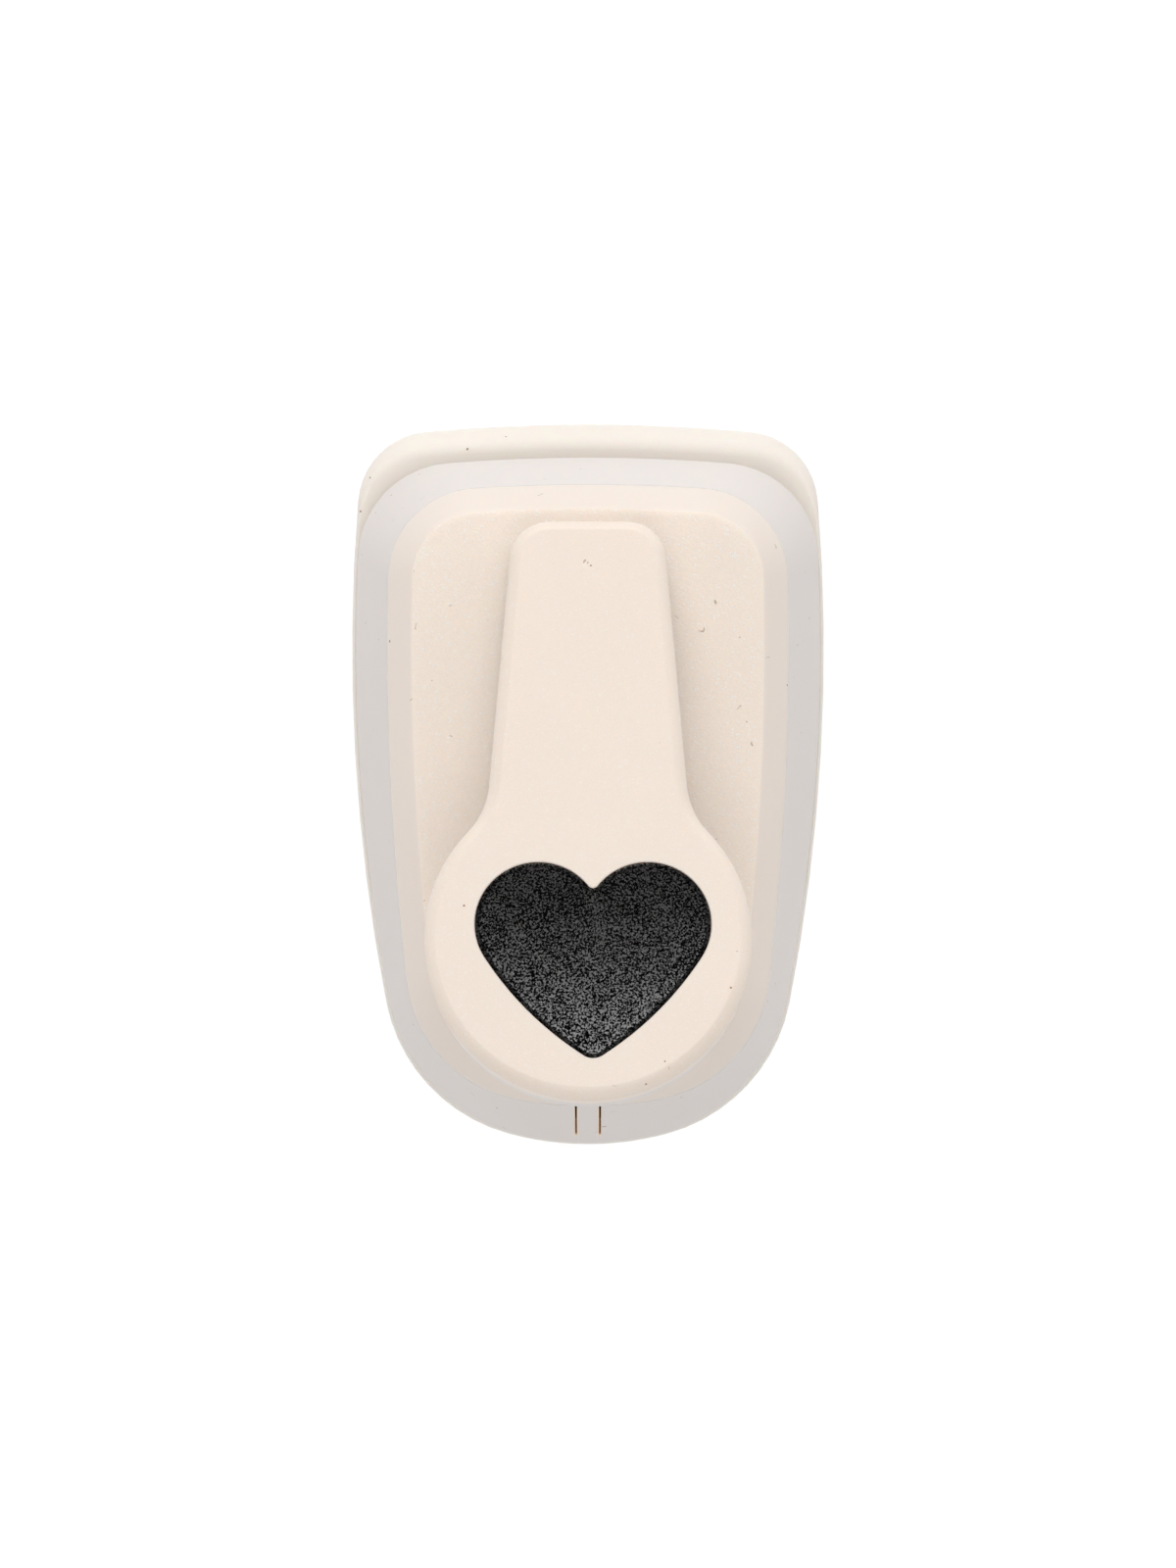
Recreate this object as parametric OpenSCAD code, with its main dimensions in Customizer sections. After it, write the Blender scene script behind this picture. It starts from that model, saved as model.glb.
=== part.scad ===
// Lever-operated craft paper punch.
// The paper slot opens to the front, at +Y. The thumb pad is at the rear.
// The origin lies under the middle of the body, on the resting face.

/* [Base] */
// Width of the base at its widest
base_w = 50; // [46:0.5:60]
// Length of the base from front lip to rear
base_len = 76.3; // [72:0.1:84]
// Height of the paper table above the resting face
table_z = 11; // [10:0.5:14]
// Thickness of the base's outer wall
base_wall = 2.2; // [1.6:0.1:2.6]
// Thickness of the paper table
table_t = 2.4; // [1.8:0.1:3]
// Radius of the base's front corners
base_corner = 7.8; // [6:0.1:9]
// How far the front lip rolls back up to the table
lip_roll = 2.6; // [1.5:0.1:3]
// Thickness of the bottom plate
bottom_t = 1.6; // [1.2:0.1:2]
// Side of the square cells between the moulded ribs
rib_cell = 6.4; // [5:0.1:7]
// Thickness of the moulded ribs
rib_t = 1.5; // [1.2:0.1:2]
// Thickness of the ledge that carries the die
ledge_t = 1.6; // [1.2:0.1:2]
// Clearance of the chip chute round the heart
chute_gap = 1.5; // [1:0.1:2]

/* [Paper slot] */
// Height of the paper slot
slot_h = 1.8; // [1.2:0.1:2.4]
// Place of the slot's closed end along Y
throat_y = -11.6; // [-13:0.1:-9]

/* [Housing and cover] */
// Height of the housing's top edge
housing_z = 28; // [27:0.5:31]
// Height of the cover's flat top
cover_z = 32; // [31:0.5:35]
// Width of the housing at its foot
housing_w = 48.9; // [47:0.1:50]
// How far the housing's foot stands behind the front lip
housing_setback = 3.8; // [3:0.1:5]
// Width of the housing at its top edge
housing_top_w = 41.4; // [40.6:0.1:43]
// How far the housing's top edge stands behind its foot in front
front_lean = 3.5; // [2.5:0.1:4]
// How far the housing's top edge stands in front of its foot at the rear
rear_lean = 4.6; // [3.6:0.1:5]
// Wall of the housing and of the cover
shell_wall = 2; // [1.6:0.1:2.2]
// Width of the bevel round the cover's flat top
bevel_w = 2.8; // [2:0.1:3.2]
// Width of the two slits that free the rear snap tongue
slit_w = 0.35; // [0.3:0.05:0.8]
// Width of the rear snap tongue
tongue_w = 2.1; // [1.5:0.1:4]

/* [Lever] */
// Angle through which the lever swings down from rest
swing = 15; // [12:0.5:16]
// Place of the lever pin along Y
pin_y = 20.5; // [20:0.1:21.5]
// Height of the lever pin
pin_z = 27; // [26.8:0.1:27.2]
// Diameter of the lever pin
pin_d = 3; // [2.5:0.1:3.2]
// Distance from the pin to the middle of the pad
pad_reach = 40.3; // [38:0.1:41]
// Radius of the round pad
pad_r = 16.4; // [15:0.1:17]
// Width of the lever's stem beside the pin
stem_w = 15.8; // [15.4:0.1:17]
// Taper of the stem's sides in degrees
stem_taper = 4.8; // [3:0.1:6]
// Length of the stem in front of the pin
stem_nose = 3.4; // [3:0.1:4]
// Radius of the stem's front corners
stem_corner = 4.1; // [3:0.1:5]
// Radius of the hollow curve from stem to pad
neck_r = 8; // [5:0.1:12]
// Height of the lever's underside above the pin with the lever level
lever_low = 6.5; // [6.4:0.1:7]
// Height of the lever from underside to top
lever_h = 5.7; // [5.5:0.1:6.5]
// Chamfer round the lever's top
lever_chamfer = 1.1; // [0.6:0.1:1.4]
// Height of the cream cap on the lever
cap_h = 3.3; // [3:0.1:3.6]
// Wall of the cap and of the lever body
lever_wall = 1.5; // [1.2:0.1:1.8]
// Thickness of the lever arm's steel
arm_t = 1.5; // [1.2:0.1:1.8]
// Distance between the arm's two cheeks
arm_gap = 8; // [7.6:0.1:8.2]
// Distance from the pin to the press bar
press_reach = 16; // [15.5:0.1:16.5]
// Diameter of the press bar
press_d = 4; // [3.6:0.1:4.4]

/* [Punch] */
// Width of the heart
heart_w = 23.5; // [21:0.1:24]
// Radius of the heart's upper lobes
lobe_r = 6.25; // [6:0.05:6.5]
// Radius of the curve from the lobes to the flanks
flank_r = 9.8; // [8.5:0.1:11]
// Radius of the heart's tip
tip_r = 3.7; // [2:0.1:4.5]
// Radius in the notch between the lobes
notch_r = 0.8; // [0.5:0.05:1.2]
// Thickness of the die plate
die_t = 4; // [3:0.1:4.4]
// Width of the die plate and of the guide block
frame_w = 40; // [39:0.1:41]
// Place of the frame's front edge along Y
frame_front = 25.5; // [25:0.1:26.5]
// Place of the frame's rear edge along Y
frame_rear = -20.8; // [-22:0.1:-20]
// Thickness of the guide block
guide_t = 6; // [5.6:0.1:6.2]
// Gap between the ram's cutting face and the slot
ram_lift = 0.8; // [0.4:0.1:1]
// Clearance between the ram and the holes it slides in
ram_gap = 0.08; // [0.05:0.01:0.12]
// Thickness of the crosshead's arms
crosshead_t = 2; // [1.8:0.1:2.4]
// Height of the crosshead's middle block above its arms
crosshead_rise = 1.8; // [1.4:0.1:2]
// Width of the crosshead
crosshead_w = 11; // [10:0.5:12]
// Diameter of the guide posts
post_d = 3; // [2.6:0.1:3.2]
// Distance of the guide posts from the middle
post_x = 14.8; // [14.6:0.1:15]

/* [Springs] */
// Diameter of the spring wire
wire_d = 0.7; // [0.6:0.05:0.9]
// Turns of each return spring
turns = 4.5; // [3.5:0.5:5]
// Depth of the spring pockets in the guide block
pocket_depth = 3.8; // [3:0.1:4.4]

/* [Fasteners] */
// Diameter of the screws' shanks
screw_d = 3; // [2.5:0.1:3]
// Diameter of the screws' heads
screw_head_d = 5.4; // [5:0.1:5.6]
// Height of the screws' heads
screw_head_h = 1.8; // [1.4:0.1:2]
// Diameter of the small screws' shanks
small_screw_d = 2; // [1.8:0.1:2.2]
// Diameter of the small screws' heads
small_head_d = 3.8; // [3.4:0.1:4]
// Height of the small screws' heads
small_head_h = 1.3; // [1:0.1:1.4]

/* [Fits] */
// Clearance between moulded pieces
fit_gap = 0.15; // [0.1:0.05:0.2]
// Clearance between the frame and the housing round it
frame_gap = 0.3; // [0.2:0.05:0.5]
// Radial clearance of pins and posts in their holes
pin_gap = 0.05; // [0.02:0.01:0.1]
// How far the inlay stands to the right of the pad's middle
inlay_shift = 0.6; // [-0.8:0.1:0.8]
// Depth of the recess for the heart inlay
inlay_t = 0.8; // [0.6:0.1:1]

/* [Hidden] */

cream = [0.95, 0.90, 0.85];
light_grey = [0.84, 0.83, 0.82];
steel = [0.62, 0.64, 0.66];
dark_steel = [0.42, 0.43, 0.45];
zinc = [0.72, 0.73, 0.75];
ink_black = [0.09, 0.09, 0.10];

$fn = 48;
eps = 0.01;

// Radii of the body's long, shallow curves, seen from above
side_y = 14.3;
front_bow = 184;
base_side_r = 195;
top_side_r = 300;
rear_bow = 32;
rear_corner = 18;
top_rear_bow = 40;
top_rear_corner = 14;
housing_corner = 10.2;
top_corner = 9.4;
frame_corner = 4;
frame_rear_bow = 200;
frame_rear_corner = 5;

front_y = base_len / 2;
rear_y = -base_len / 2;
slot_top = table_z + slot_h;
housing_front = front_y - housing_setback;
housing_rear = rear_y + 0.4;

// Base: roundings at foot and lip, and margins of the cells under it
foot_round = 0.7;
foot_h = 3;
lip_round = 0.35;
lip_h = 4;
round_steps = [0, 30, 60, 90];
cell_margin = 0.4;
lip_margin = 3.5;
pocket_wall = 2.2;
ledge_margin = 1.2;
short_cell = 4.7;
front_cell = 5.6;

// Die plate and guide block
die_relief = 0.6;
die_land = 2;
core_size = [6, 5.5, 3.5];
core_y = -9.5;
small_hole = 4.5;

// Fasteners: recesses, blind ends, grooves, clips and washers
cross_len = 0.62;
cross_w = 0.14;
cross_depth = 0.6;
blind_gap = 0.4;
rear_grip = 7;
small_length = 6;
hole_spare = 2;
groove_depth = 0.35;
clip_rim = 0.8;
clip_slack = 0.02;
clip_mouth = 0.72;
washer_rim = 1;
washer_t = 0.4;

// Height levels of the frame
die_bottom = table_z - die_t;
guide_top = slot_top + guide_t;
ram_z = slot_top + ram_lift;
pocket_z = guide_top - pocket_depth;

// The press bar stands as far above the pin's level at rest as it stands
// below it at the end of the swing, so the ram's travel follows the angle
press_drop = press_reach * tan(swing / 2);
press_arm = press_reach / cos(swing / 2);
ram_travel = 2 * press_arm * sin(swing / 2);
echo(str("Travel of the ram: ", ram_travel, " mm"));
ram_y = pin_y - press_reach;
press_z = pin_z + press_drop;
contact_gap = 0.02;
crosshead_top = press_z - press_d / 2 - contact_gap;
arms_top = crosshead_top - crosshead_rise;
crosshead_z = arms_top - crosshead_t;
boss_gap = 0.6;
boss_x = arm_gap / 2 - boss_gap;
crosshead_arm_w = 6.6;
head_wall = 0.9;
head_sink = 0.2;
ram_screw_y = crosshead_w / 2 - small_head_d / 2 - head_wall;
ram_screw_z = crosshead_top - small_head_h - head_sink;
small_corner = 1.5;
eye_wall = 1.3;

// The ram's face is ground hollow, so that its two sides cut first
shear_r = 60;
shear_rise = 0.7;

lever_top = lever_low + lever_h;
cap_low = lever_top - cap_h;
cap_roof = 2;
cap_ceiling = lever_top - cap_roof;
cap_draft = 0.1;
floor_t = 1.6;
floor_top = lever_low + floor_t;
body_round = 0.4;
seam_step = 0.15;
rim_gap = 0.2;
slot_gap = 0.2;
seat_gap = 0.05;
boss_root = 0.5;
boss_hole = 0.8;
inlay_sunk = 0.08;
heart_shift = 2.27;
heart_reach = pad_reach + heart_shift;

// The arm: eyes for pin and press bar, and cheeks that end short of the nose
arm_top = floor_top + arm_t;
arm_x = arm_gap / 2 + arm_t;
arm_eye = 1.2;
eye_r = pin_d / 2 + arm_eye;
press_wall = 1.1;
press_end = 0.3;
cheek_tail = 3;
cheek_len = press_reach + cheek_tail;
cheek_nose = 0.8;
shoulder_z = lever_low - 2;
shoulder_t = 0.5;
web_tail = 1;
locating_t = 0.7;

cheek_gap = 0.5;
ear_in = arm_x + cheek_gap;
ear_t = 2.8;
ear_r = pin_d / 2 + eye_wall;
ear_out = ear_in + ear_t;
ear_flare = 1.5;
ear_margin = 0.8;
pin_head_t = 1;
pin_head_rim = 0.9;
pin_end = 0.6;

// How far the screws stand in from the edges of what they hold. The top ones
// stand midway between the ears and the edge of the guide block
screw_x = 9;
front_screw_in = [4.5, 3.4];
top_screw_in = 3.6;
rear_screw_in = 10.6;
frame_screw = [screw_x, (throat_y + frame_rear) / 2];
front_screw = [frame_w / 2 - front_screw_in.x, frame_front - front_screw_in.y];
rear_screw = [screw_x, rear_y + rear_screw_in];
top_screw = [(ear_out + frame_w / 2) / 2, frame_front - top_screw_in];
lever_screw_spots = [[3.2, 27], [8, pad_reach + 7]];
clip_t = 0.6;
clip_gap = 0.1;
post_foot = 0.2;
post_end = 0.8;
lug_t = 2;
lug_half = 2.6;
sink_gap = 0.1;
table_skin = 0.9;

// Housing: floor, bosses with their ribs, and ledges that the hooks catch
housing_floor_t = 1.6;
rear_boss_wall = 1.7;
rear_boss_drop = 6;
boss_rib_t = 1.4;
boss_rib_out = 6.6;
boss_rib_drop = 8;
slit_end = 1.2;
catch_size = [2.6, 5, 1.2];
catch_proud = 0.6;
catch_drop = 3;
hook_ys = [15.5, -12];
hook_t = 1;
hook_reach = 1.9;
hook_drop = 4.3;
hook_nose = 1.1;
hook_w = 4;

// Cover: locating rim, window, and the softened edge of the bevel, as inset
// past the bevel and depth below the top
rim_t = 1.1;
rim_drop = 1;
cover_inset = 0.12;
seam_round = [0.05, 0.3];
ceiling_in = 0.9;
soft_edge = [[-0.45, 0.5], [-0.1, 0.14], [0.4, 0]];
window_rear = 3.8;
window_front = 4.1;
window_side = 1;
cell_pitch = rib_cell + rib_t;

// Points of an arc, without its last one
function arc(c, r, a0, a1, n) =
    [for (i = [0 : n - 1]) let (a = a0 + (a1 - a0) * i / n) c + r * [cos(a), sin(a)]];

function angle_of(v) = atan2(v.y, v.x);

// Where two circles cross, on the side that turn picks
function crossing(p, rp, q, rq, turn) =
    let (d = norm(q - p), a = (rp * rp - rq * rq + d * d) / (2 * d),
         h = sqrt(rp * rp - a * a), e = (q - p) / d)
    p + a * e + turn * h * [-e.y, e.x];

// A right half, front to rear, with its mirror image added
function whole(half) =
    concat(half, [for (i = [len(half) - 1 : -1 : 0]) if (half[i].x > eps) [-half[i].x, half[i].y]]);

// The body seen from above: five tangent arcs on each side
function body_outline(half_w, side_r, front, corner, rear, bow, rear_r, inset = 0) =
    let (side = [half_w - side_r, side_y], nose = [0, front - front_bow],
         tail = [0, rear + bow],
         k1 = crossing(side, side_r - corner, nose, front_bow - corner, 1),
         k2 = crossing(side, side_r - rear_r, tail, bow - rear_r, -1),
         a1 = angle_of(k1 - nose), a2 = angle_of(k1 - side),
         a3 = angle_of(k2 - side), a4 = angle_of(k2 - tail))
    whole(concat(arc(nose, front_bow - inset, 90, a1, 4),
                 arc(k1, corner - inset, a1, a2, 10),
                 arc(side, side_r - inset, a2, a3, 8),
                 arc(k2, rear_r - inset, a3, a4, 10),
                 arc(tail, bow - inset, a4, -90, 6),
                 [[0, rear + inset]]));

function base_outline(inset = 0, front_in = 0) =
    body_outline(base_w / 2, base_side_r, front_y - front_in, base_corner, rear_y,
                 rear_bow, rear_corner, inset);

function foot_outline(inset = 0) =
    body_outline(housing_w / 2, base_side_r, housing_front, housing_corner, housing_rear,
                 rear_bow, rear_corner, inset);

function rim_outline(inset = 0) =
    body_outline(housing_top_w / 2, top_side_r, housing_front - front_lean, top_corner,
                 housing_rear + rear_lean, top_rear_bow, top_rear_corner, inset);

// The die plate, the spacer and the guide block follow the body's sides
function frame_outline(inset = 0) =
    body_outline(frame_w / 2, base_side_r, frame_front, frame_corner, frame_rear,
                 frame_rear_bow, frame_rear_corner, inset);

// Half width of the rim at a place along Y
function rim_x(y, inset = 0) =
    let (r = top_side_r - inset)
    housing_top_w / 2 - top_side_r + sqrt(r * r - pow(y - side_y, 2));

// Half width of the housing's outer face at a height
function housing_x(z, y) =
    let (t = (z - slot_top) / (housing_z - slot_top),
         foot = housing_w / 2 - base_side_r + sqrt(pow(base_side_r, 2) - pow(y - side_y, 2)))
    foot + (rim_x(y) - foot) * t;

// The lever seen from above, with the pin at the origin and the pad at -Y
stem_n = [cos(stem_taper), sin(stem_taper)];
stem_c = stem_w / 2 * cos(stem_taper);
corner_c = [(stem_c - stem_corner - (stem_nose - stem_corner) * stem_n.y) / stem_n.x,
            stem_nose - stem_corner];
pad_c = [0, -pad_reach];
neck_d = stem_c + neck_r + pad_reach * stem_n.y;
neck_t = pad_reach * stem_n.x - sqrt(pow(pad_r + neck_r, 2) - neck_d * neck_d);
neck_c = (stem_c + neck_r) * stem_n + neck_t * [stem_n.y, -stem_n.x];
function lever_outline(inset = 0) =
    let (a = angle_of(neck_c - pad_c))
    whole(concat(arc(corner_c, stem_corner - inset, 90, stem_taper, 8),
                 [corner_c + (stem_corner - inset) * stem_n],
                 arc(neck_c, neck_r + inset, 180 + stem_taper, 180 + a, 7),
                 arc(pad_c, pad_r - inset, a, -90, 24),
                 [[0, -pad_reach - pad_r + inset]]));

// A heart about its own middle, with the tip at -Y
lobe_y = 3.8;
lobe_c = [heart_w / 2 - lobe_r, lobe_y];
flank_a = -45;
lobe_end = -10;
flank_c = lobe_c - (flank_r - lobe_r) * [cos(lobe_end), sin(lobe_end)];
flank_n = [cos(flank_a), sin(flank_a)];
tip_c = [0, (flank_c * flank_n + flank_r - tip_r) / flank_n.y];
function heart_outline(inset = 0) =
    let (r = lobe_r - inset, rn = max(notch_r + inset, 0),
         notch_c = [0, lobe_c.y + sqrt(pow(r + rn, 2) - pow(lobe_c.x, 2))],
         a = angle_of(lobe_c - notch_c))
    whole(concat(rn > 0 ? arc(notch_c, rn, -90, a, 3) : [],
                 arc(lobe_c, r, 180 + a, lobe_end, 12),
                 arc(flank_c, flank_r - inset, lobe_end, flank_a, 4),
                 [flank_c + (flank_r - inset) * flank_n],
                 arc(tip_c, tip_r - inset, flank_a, -90, 4),
                 [[0, tip_c.y - tip_r + inset]]));

// Strips that close a ring from side to side. Every outline falls steadily
// from front to rear, so each strip runs level between mirrored points.
function strips(n) =
    let (shift = n % 2)
    [for (i = [0 : floor(n / 2) - 1])
        let (near = (n - shift - i) % n, far = n - shift - i - 1)
        [i, i + 1, if (far != i + 1) far, if (near != i) near]];

// A closed skin through rings of equal length, given as [outline, height]
module skin(rings) {
    n = len(rings[0][0]);
    last = (len(rings) - 1) * n;
    points = [for (ring = rings) for (p = ring[0]) [p.x, p.y, ring[1]]];
    sides = [for (k = [0 : len(rings) - 2]) for (i = [0 : n - 1])
        let (j = (i + 1) % n, a = k * n, b = a + n)
        each [[a + i, a + j, b + j], [a + i, b + j, b + i]]];
    low = [for (strip = strips(n)) [for (i = [len(strip) - 1 : -1 : 0]) strip[i]]];
    high = [for (strip = strips(n)) [for (i = strip) last + i]];
    polyhedron(points, concat(low, sides, high));
}

// A plate with rounded corners, from z0 up to z1
module plate(w, y0, y1, r, z0, z1) {
    translate([0, 0, z0])
        linear_extrude(z1 - z0)
            difference() {
                translate([-w / 2, y0])
                    square([w, y1 - y0]);
                for (s = [-1, 1], y = [y0, y1])
                    translate([s * w / 2, y])
                        corner_waste(r, -s, y == y0 ? 1 : -1);
            }
}

// What a round corner takes away from a square one
module corner_waste(r, sx, sy) {
    difference() {
        translate([sx > 0 ? -1 : -r, sy > 0 ? -1 : -r])
            square(r + 1);
        translate([sx * r, sy * r])
            circle(r);
    }
}

module prism(outline, z0, z1) {
    translate([0, 0, z0])
        linear_extrude(z1 - z0)
            polygon(outline);
}

module pair(spot) {
    for (s = [-1, 1])
        translate([s * spot.x, spot.y, 0])
            children();
}

module rod(d, z0, z1) {
    translate([0, 0, z0])
        cylinder(d = d, h = z1 - z0);
}

// The cross recess of a screw's head, from z up
module cross_recess(head_d, z, h) {
    for (a = [0, 90])
        rotate(a)
            translate([-head_d * cross_len / 2, -head_d * cross_w / 2, z])
                cube([head_d * cross_len, head_d * cross_w, h]);
}

// A screw with its head up, its seat at z and its tip at z - length
module pan_screw(d, head_d, head_h, z, length) {
    rod(d, z - length, z + eps);
    difference() {
        rod(head_d, z, z + head_h);
        cross_recess(head_d, z + head_h * (1 - cross_depth), head_h);
    }
}

// A countersunk screw with its head down, flush at z
module sunk_screw(d, head_d, z, length) {
    sink = (head_d - d) / 2;
    difference() {
        union() {
            rod(d, z, z + length);
            translate([0, 0, z])
                cylinder(d1 = head_d, d2 = d, h = sink);
        }
        cross_recess(head_d, z - eps, sink * cross_depth);
    }
}

// The hole for a countersunk screw, with its mouth at z
module sunk_hole(d, head_d, z, top) {
    sink = (head_d - d) / 2;
    rod(d + 2 * fit_gap, z - eps, top);
    translate([0, 0, z - eps])
        cylinder(d1 = head_d + 2 * fit_gap, d2 = d + 2 * fit_gap, h = sink);
}

// Moves a piece from the level lever to the lever at rest
module on_lever() {
    translate([0, pin_y, pin_z])
        rotate([-swing, 0, 0])
            children();
}

// Base

module base_skin() {
    foot = [for (a = round_steps)
        [base_outline(foot_round * (1 - sin(a))), foot_h * (1 - cos(a))]];
    lip = [for (a = round_steps)
        [base_outline(lip_round * (1 - cos(a)), lip_roll * (1 - cos(a))),
         table_z - lip_h * (1 - sin(a))]];
    skin(concat(foot, lip));
}

// One row of open cells between the moulded ribs
module cell_row(columns, y0, y1) {
    for (i = columns)
        translate([i * cell_pitch - rib_cell / 2, y0])
            square([rib_cell, y1 - y0]);
}

// Cells around the die, under the table
module outer_cells() {
    rear_row = frame_rear - pocket_wall;
    intersection() {
        polygon(base_outline(base_wall + cell_margin));
        union() {
            cell_row([-2 : 2], frame_front + pocket_wall, front_y - lip_margin);
            cell_row([-2, 0, 2], rear_row - rib_cell, rear_row);
            cell_row([0], rear_row - cell_pitch - short_cell, rear_row - cell_pitch);
        }
    }
}

// Cells under the ledge that carries the die, clear of the chute
module ledge_cells() {
    row = frame_rear + ledge_margin;
    front_row = frame_front - ledge_margin;
    cell_row([-2 : 2], row, row + rib_cell);
    cell_row([-2, 2], row + cell_pitch, row + cell_pitch + rib_cell);
    cell_row([-2, 2], row + 2 * cell_pitch, row + 2 * cell_pitch + short_cell);
    cell_row([-1 : 1], front_row - front_cell, front_row);
}

module base_shell() {
    color(cream)
        difference() {
            base_skin();
            prism(base_outline(base_wall), -1, bottom_t);
            translate([0, 0, bottom_t - eps])
                linear_extrude(table_z - table_t - bottom_t)
                    outer_cells();
            translate([0, 0, bottom_t - eps])
                linear_extrude(die_bottom - ledge_t - bottom_t)
                    ledge_cells();
            prism(frame_outline(-fit_gap), die_bottom, table_z + 1);
            translate([0, ram_y, 0])
                prism(heart_outline(-chute_gap), -1, table_z);
            for (spot = [front_screw, rear_screw])
                pair(spot)
                    rod(screw_d + 2 * fit_gap, 0, table_z + 1);
        }
}

module bottom_plate() {
    color(cream)
        difference() {
            prism(base_outline(base_wall + fit_gap), 0, bottom_t - eps);
            translate([0, ram_y, 0])
                prism(heart_outline(-chute_gap), -1, bottom_t + 1);
            for (spot = [front_screw, rear_screw])
                pair(spot)
                    sunk_hole(screw_d, screw_head_d, 0, bottom_t + 1);
        }
}

module base_screws_front() {
    color(dark_steel)
        pair(front_screw)
            sunk_screw(screw_d, screw_head_d, sink_gap, table_z - table_skin - blind_gap);
}

module base_screws_rear() {
    color(dark_steel)
        pair(rear_screw)
            sunk_screw(screw_d, screw_head_d, sink_gap, table_z + rear_grip);
}

// Steel and die-cast frame

module die_plate() {
    color(steel)
        difference() {
            prism(frame_outline(), die_bottom, table_z);
            translate([0, ram_y, 0]) {
                prism(heart_outline(-ram_gap), 0, table_z + 1);
                prism(heart_outline(-die_relief), 0, table_z - die_land);
            }
            pair(frame_screw)
                rod(screw_d, 0, table_z + 1);
            pair(front_screw)
                rod(screw_d, 0, table_z - table_skin);
        }
}

module throat_spacer() {
    color(steel)
        difference() {
            prism(frame_outline(), table_z, slot_top);
            translate([-base_w, throat_y, table_z - 1])
                cube([2 * base_w, base_len, slot_h + 2]);
            pair(frame_screw)
                rod(screw_d + 2 * fit_gap, 0, slot_top + 1);
        }
}

module ear() {
    translate([ear_in, 0, 0])
        rotate([90, 0, 90])
            linear_extrude(ear_t)
                difference() {
                    union() {
                        translate([pin_y, pin_z])
                            circle(ear_r);
                        polygon([[pin_y - ear_r, pin_z],
                                 [pin_y - ear_r - ear_flare, guide_top - eps],
                                 [frame_front - ear_margin, guide_top - eps],
                                 [pin_y + ear_r, pin_z]]);
                    }
                    translate([pin_y, pin_z])
                        circle(d = pin_d);
                }
}

module guide_block() {
    color(zinc) {
        difference() {
            prism(frame_outline(), slot_top, guide_top);
            translate([0, ram_y, 0]) {
                prism(heart_outline(-ram_gap), 0, guide_top + 1);
                pair([post_x, 0]) {
                    rod(post_d, 0, guide_top + 1);
                    rod(2 * spring_r + wire_d + 2 * spring_gap, pocket_z, guide_top + 1);
                }
            }
            pair(frame_screw)
                rod(screw_d + 2 * fit_gap, 0, guide_top + 1);
            pair(top_screw)
                rod(small_screw_d, guide_top - small_hole, guide_top + 1);
            for (s = [-1, 1])
                translate([s * (frame_w / 2 - core_size.x) - core_size.x / 2, core_y,
                           guide_top - core_size.z])
                    cube(core_size + [0, 0, 1]);
        }
        ear();
        mirror([1, 0, 0])
            ear();
    }
}

module frame_screws() {
    color(dark_steel)
        pair(frame_screw)
            pan_screw(screw_d, screw_head_d, screw_head_h, guide_top,
                      guide_top - die_bottom - blind_gap);
}

// Ram, crosshead, posts and springs

module guide_posts() {
    groove_z = arms_top + clip_gap;
    color(steel)
        translate([0, ram_y, 0])
            pair([post_x, 0])
                difference() {
                    rod(post_d, slot_top + post_foot, groove_z + clip_t + post_end);
                    groove(post_d, groove_z);
                }
}

// What turning a groove for a clip takes from a shaft
module groove(d, z) {
    difference() {
        rod(d + 1, z, z + clip_t);
        rod(d - 2 * groove_depth, z - 1, z + clip_t + 1);
    }
}

// A retaining clip that sits with a little slack in a shaft's groove
module clip(d) {
    inner_d = d - 2 * groove_depth + 2 * clip_slack;
    outer_d = d + 2 * clip_rim;
    t = clip_t - 2 * clip_slack;
    difference() {
        rod(outer_d, clip_slack, clip_slack + t);
        rod(inner_d, -1, t + 1);
        translate([-inner_d * clip_mouth / 2, -outer_d, -1])
            cube([inner_d * clip_mouth, outer_d, t + 2]);
    }
}

module post_clips() {
    color(dark_steel)
        translate([0, ram_y, arms_top + clip_gap])
            pair([post_x, 0])
                clip(post_d);
}

// One unbroken tube of wire that climbs as it winds
spring_low = pocket_z + wire_d / 2;
spring_high = crosshead_z - wire_d / 2;
spring_gap = 0.3;
spring_r = post_d / 2 + wire_d / 2 + spring_gap;
rings_per_turn = 8;
wire_sides = 6;
wire_rings = round(turns * rings_per_turn);
function wire_point(k) =
    let (a = 360 * k / rings_per_turn)
    [spring_r * cos(a), spring_r * sin(a),
     spring_low + (spring_high - spring_low) * k / wire_rings];
wire_gap = min([for (i = [0 : wire_rings], j = [i + rings_per_turn / 2 : wire_rings])
    norm(wire_point(i) - wire_point(j))]) - wire_d;
echo(str("Least gap of a return spring to itself: ", wire_gap, " mm"));
echo(str("Closed length of a return spring: ", (turns + 1) * wire_d, " mm, of ",
         crosshead_z - ram_travel - pocket_z, " mm left"));

module return_spring(side) {
    points = [for (k = [0 : wire_rings], i = [0 : wire_sides - 1])
        let (a = 360 * k / rings_per_turn, b = 360 * i / wire_sides,
             out = wire_d / 2 * cos(b), up = wire_d / 2 * sin(b), c = wire_point(k))
        [c.x + out * cos(a), c.y + out * sin(a), c.z + up]];
    sides = [for (k = [0 : wire_rings - 1], i = [0 : wire_sides - 1])
        let (j = (i + 1) % wire_sides, a = k * wire_sides, b = a + wire_sides)
        each [[a + i, a + j, b + j], [a + i, b + j, b + i]]];
    first = [for (i = [wire_sides - 1 : -1 : 0]) i];
    last = [for (i = [0 : wire_sides - 1]) wire_rings * wire_sides + i];
    color(steel)
        translate([side * post_x, ram_y, 0])
            polyhedron(points, concat([first], sides, [last]));
}

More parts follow.
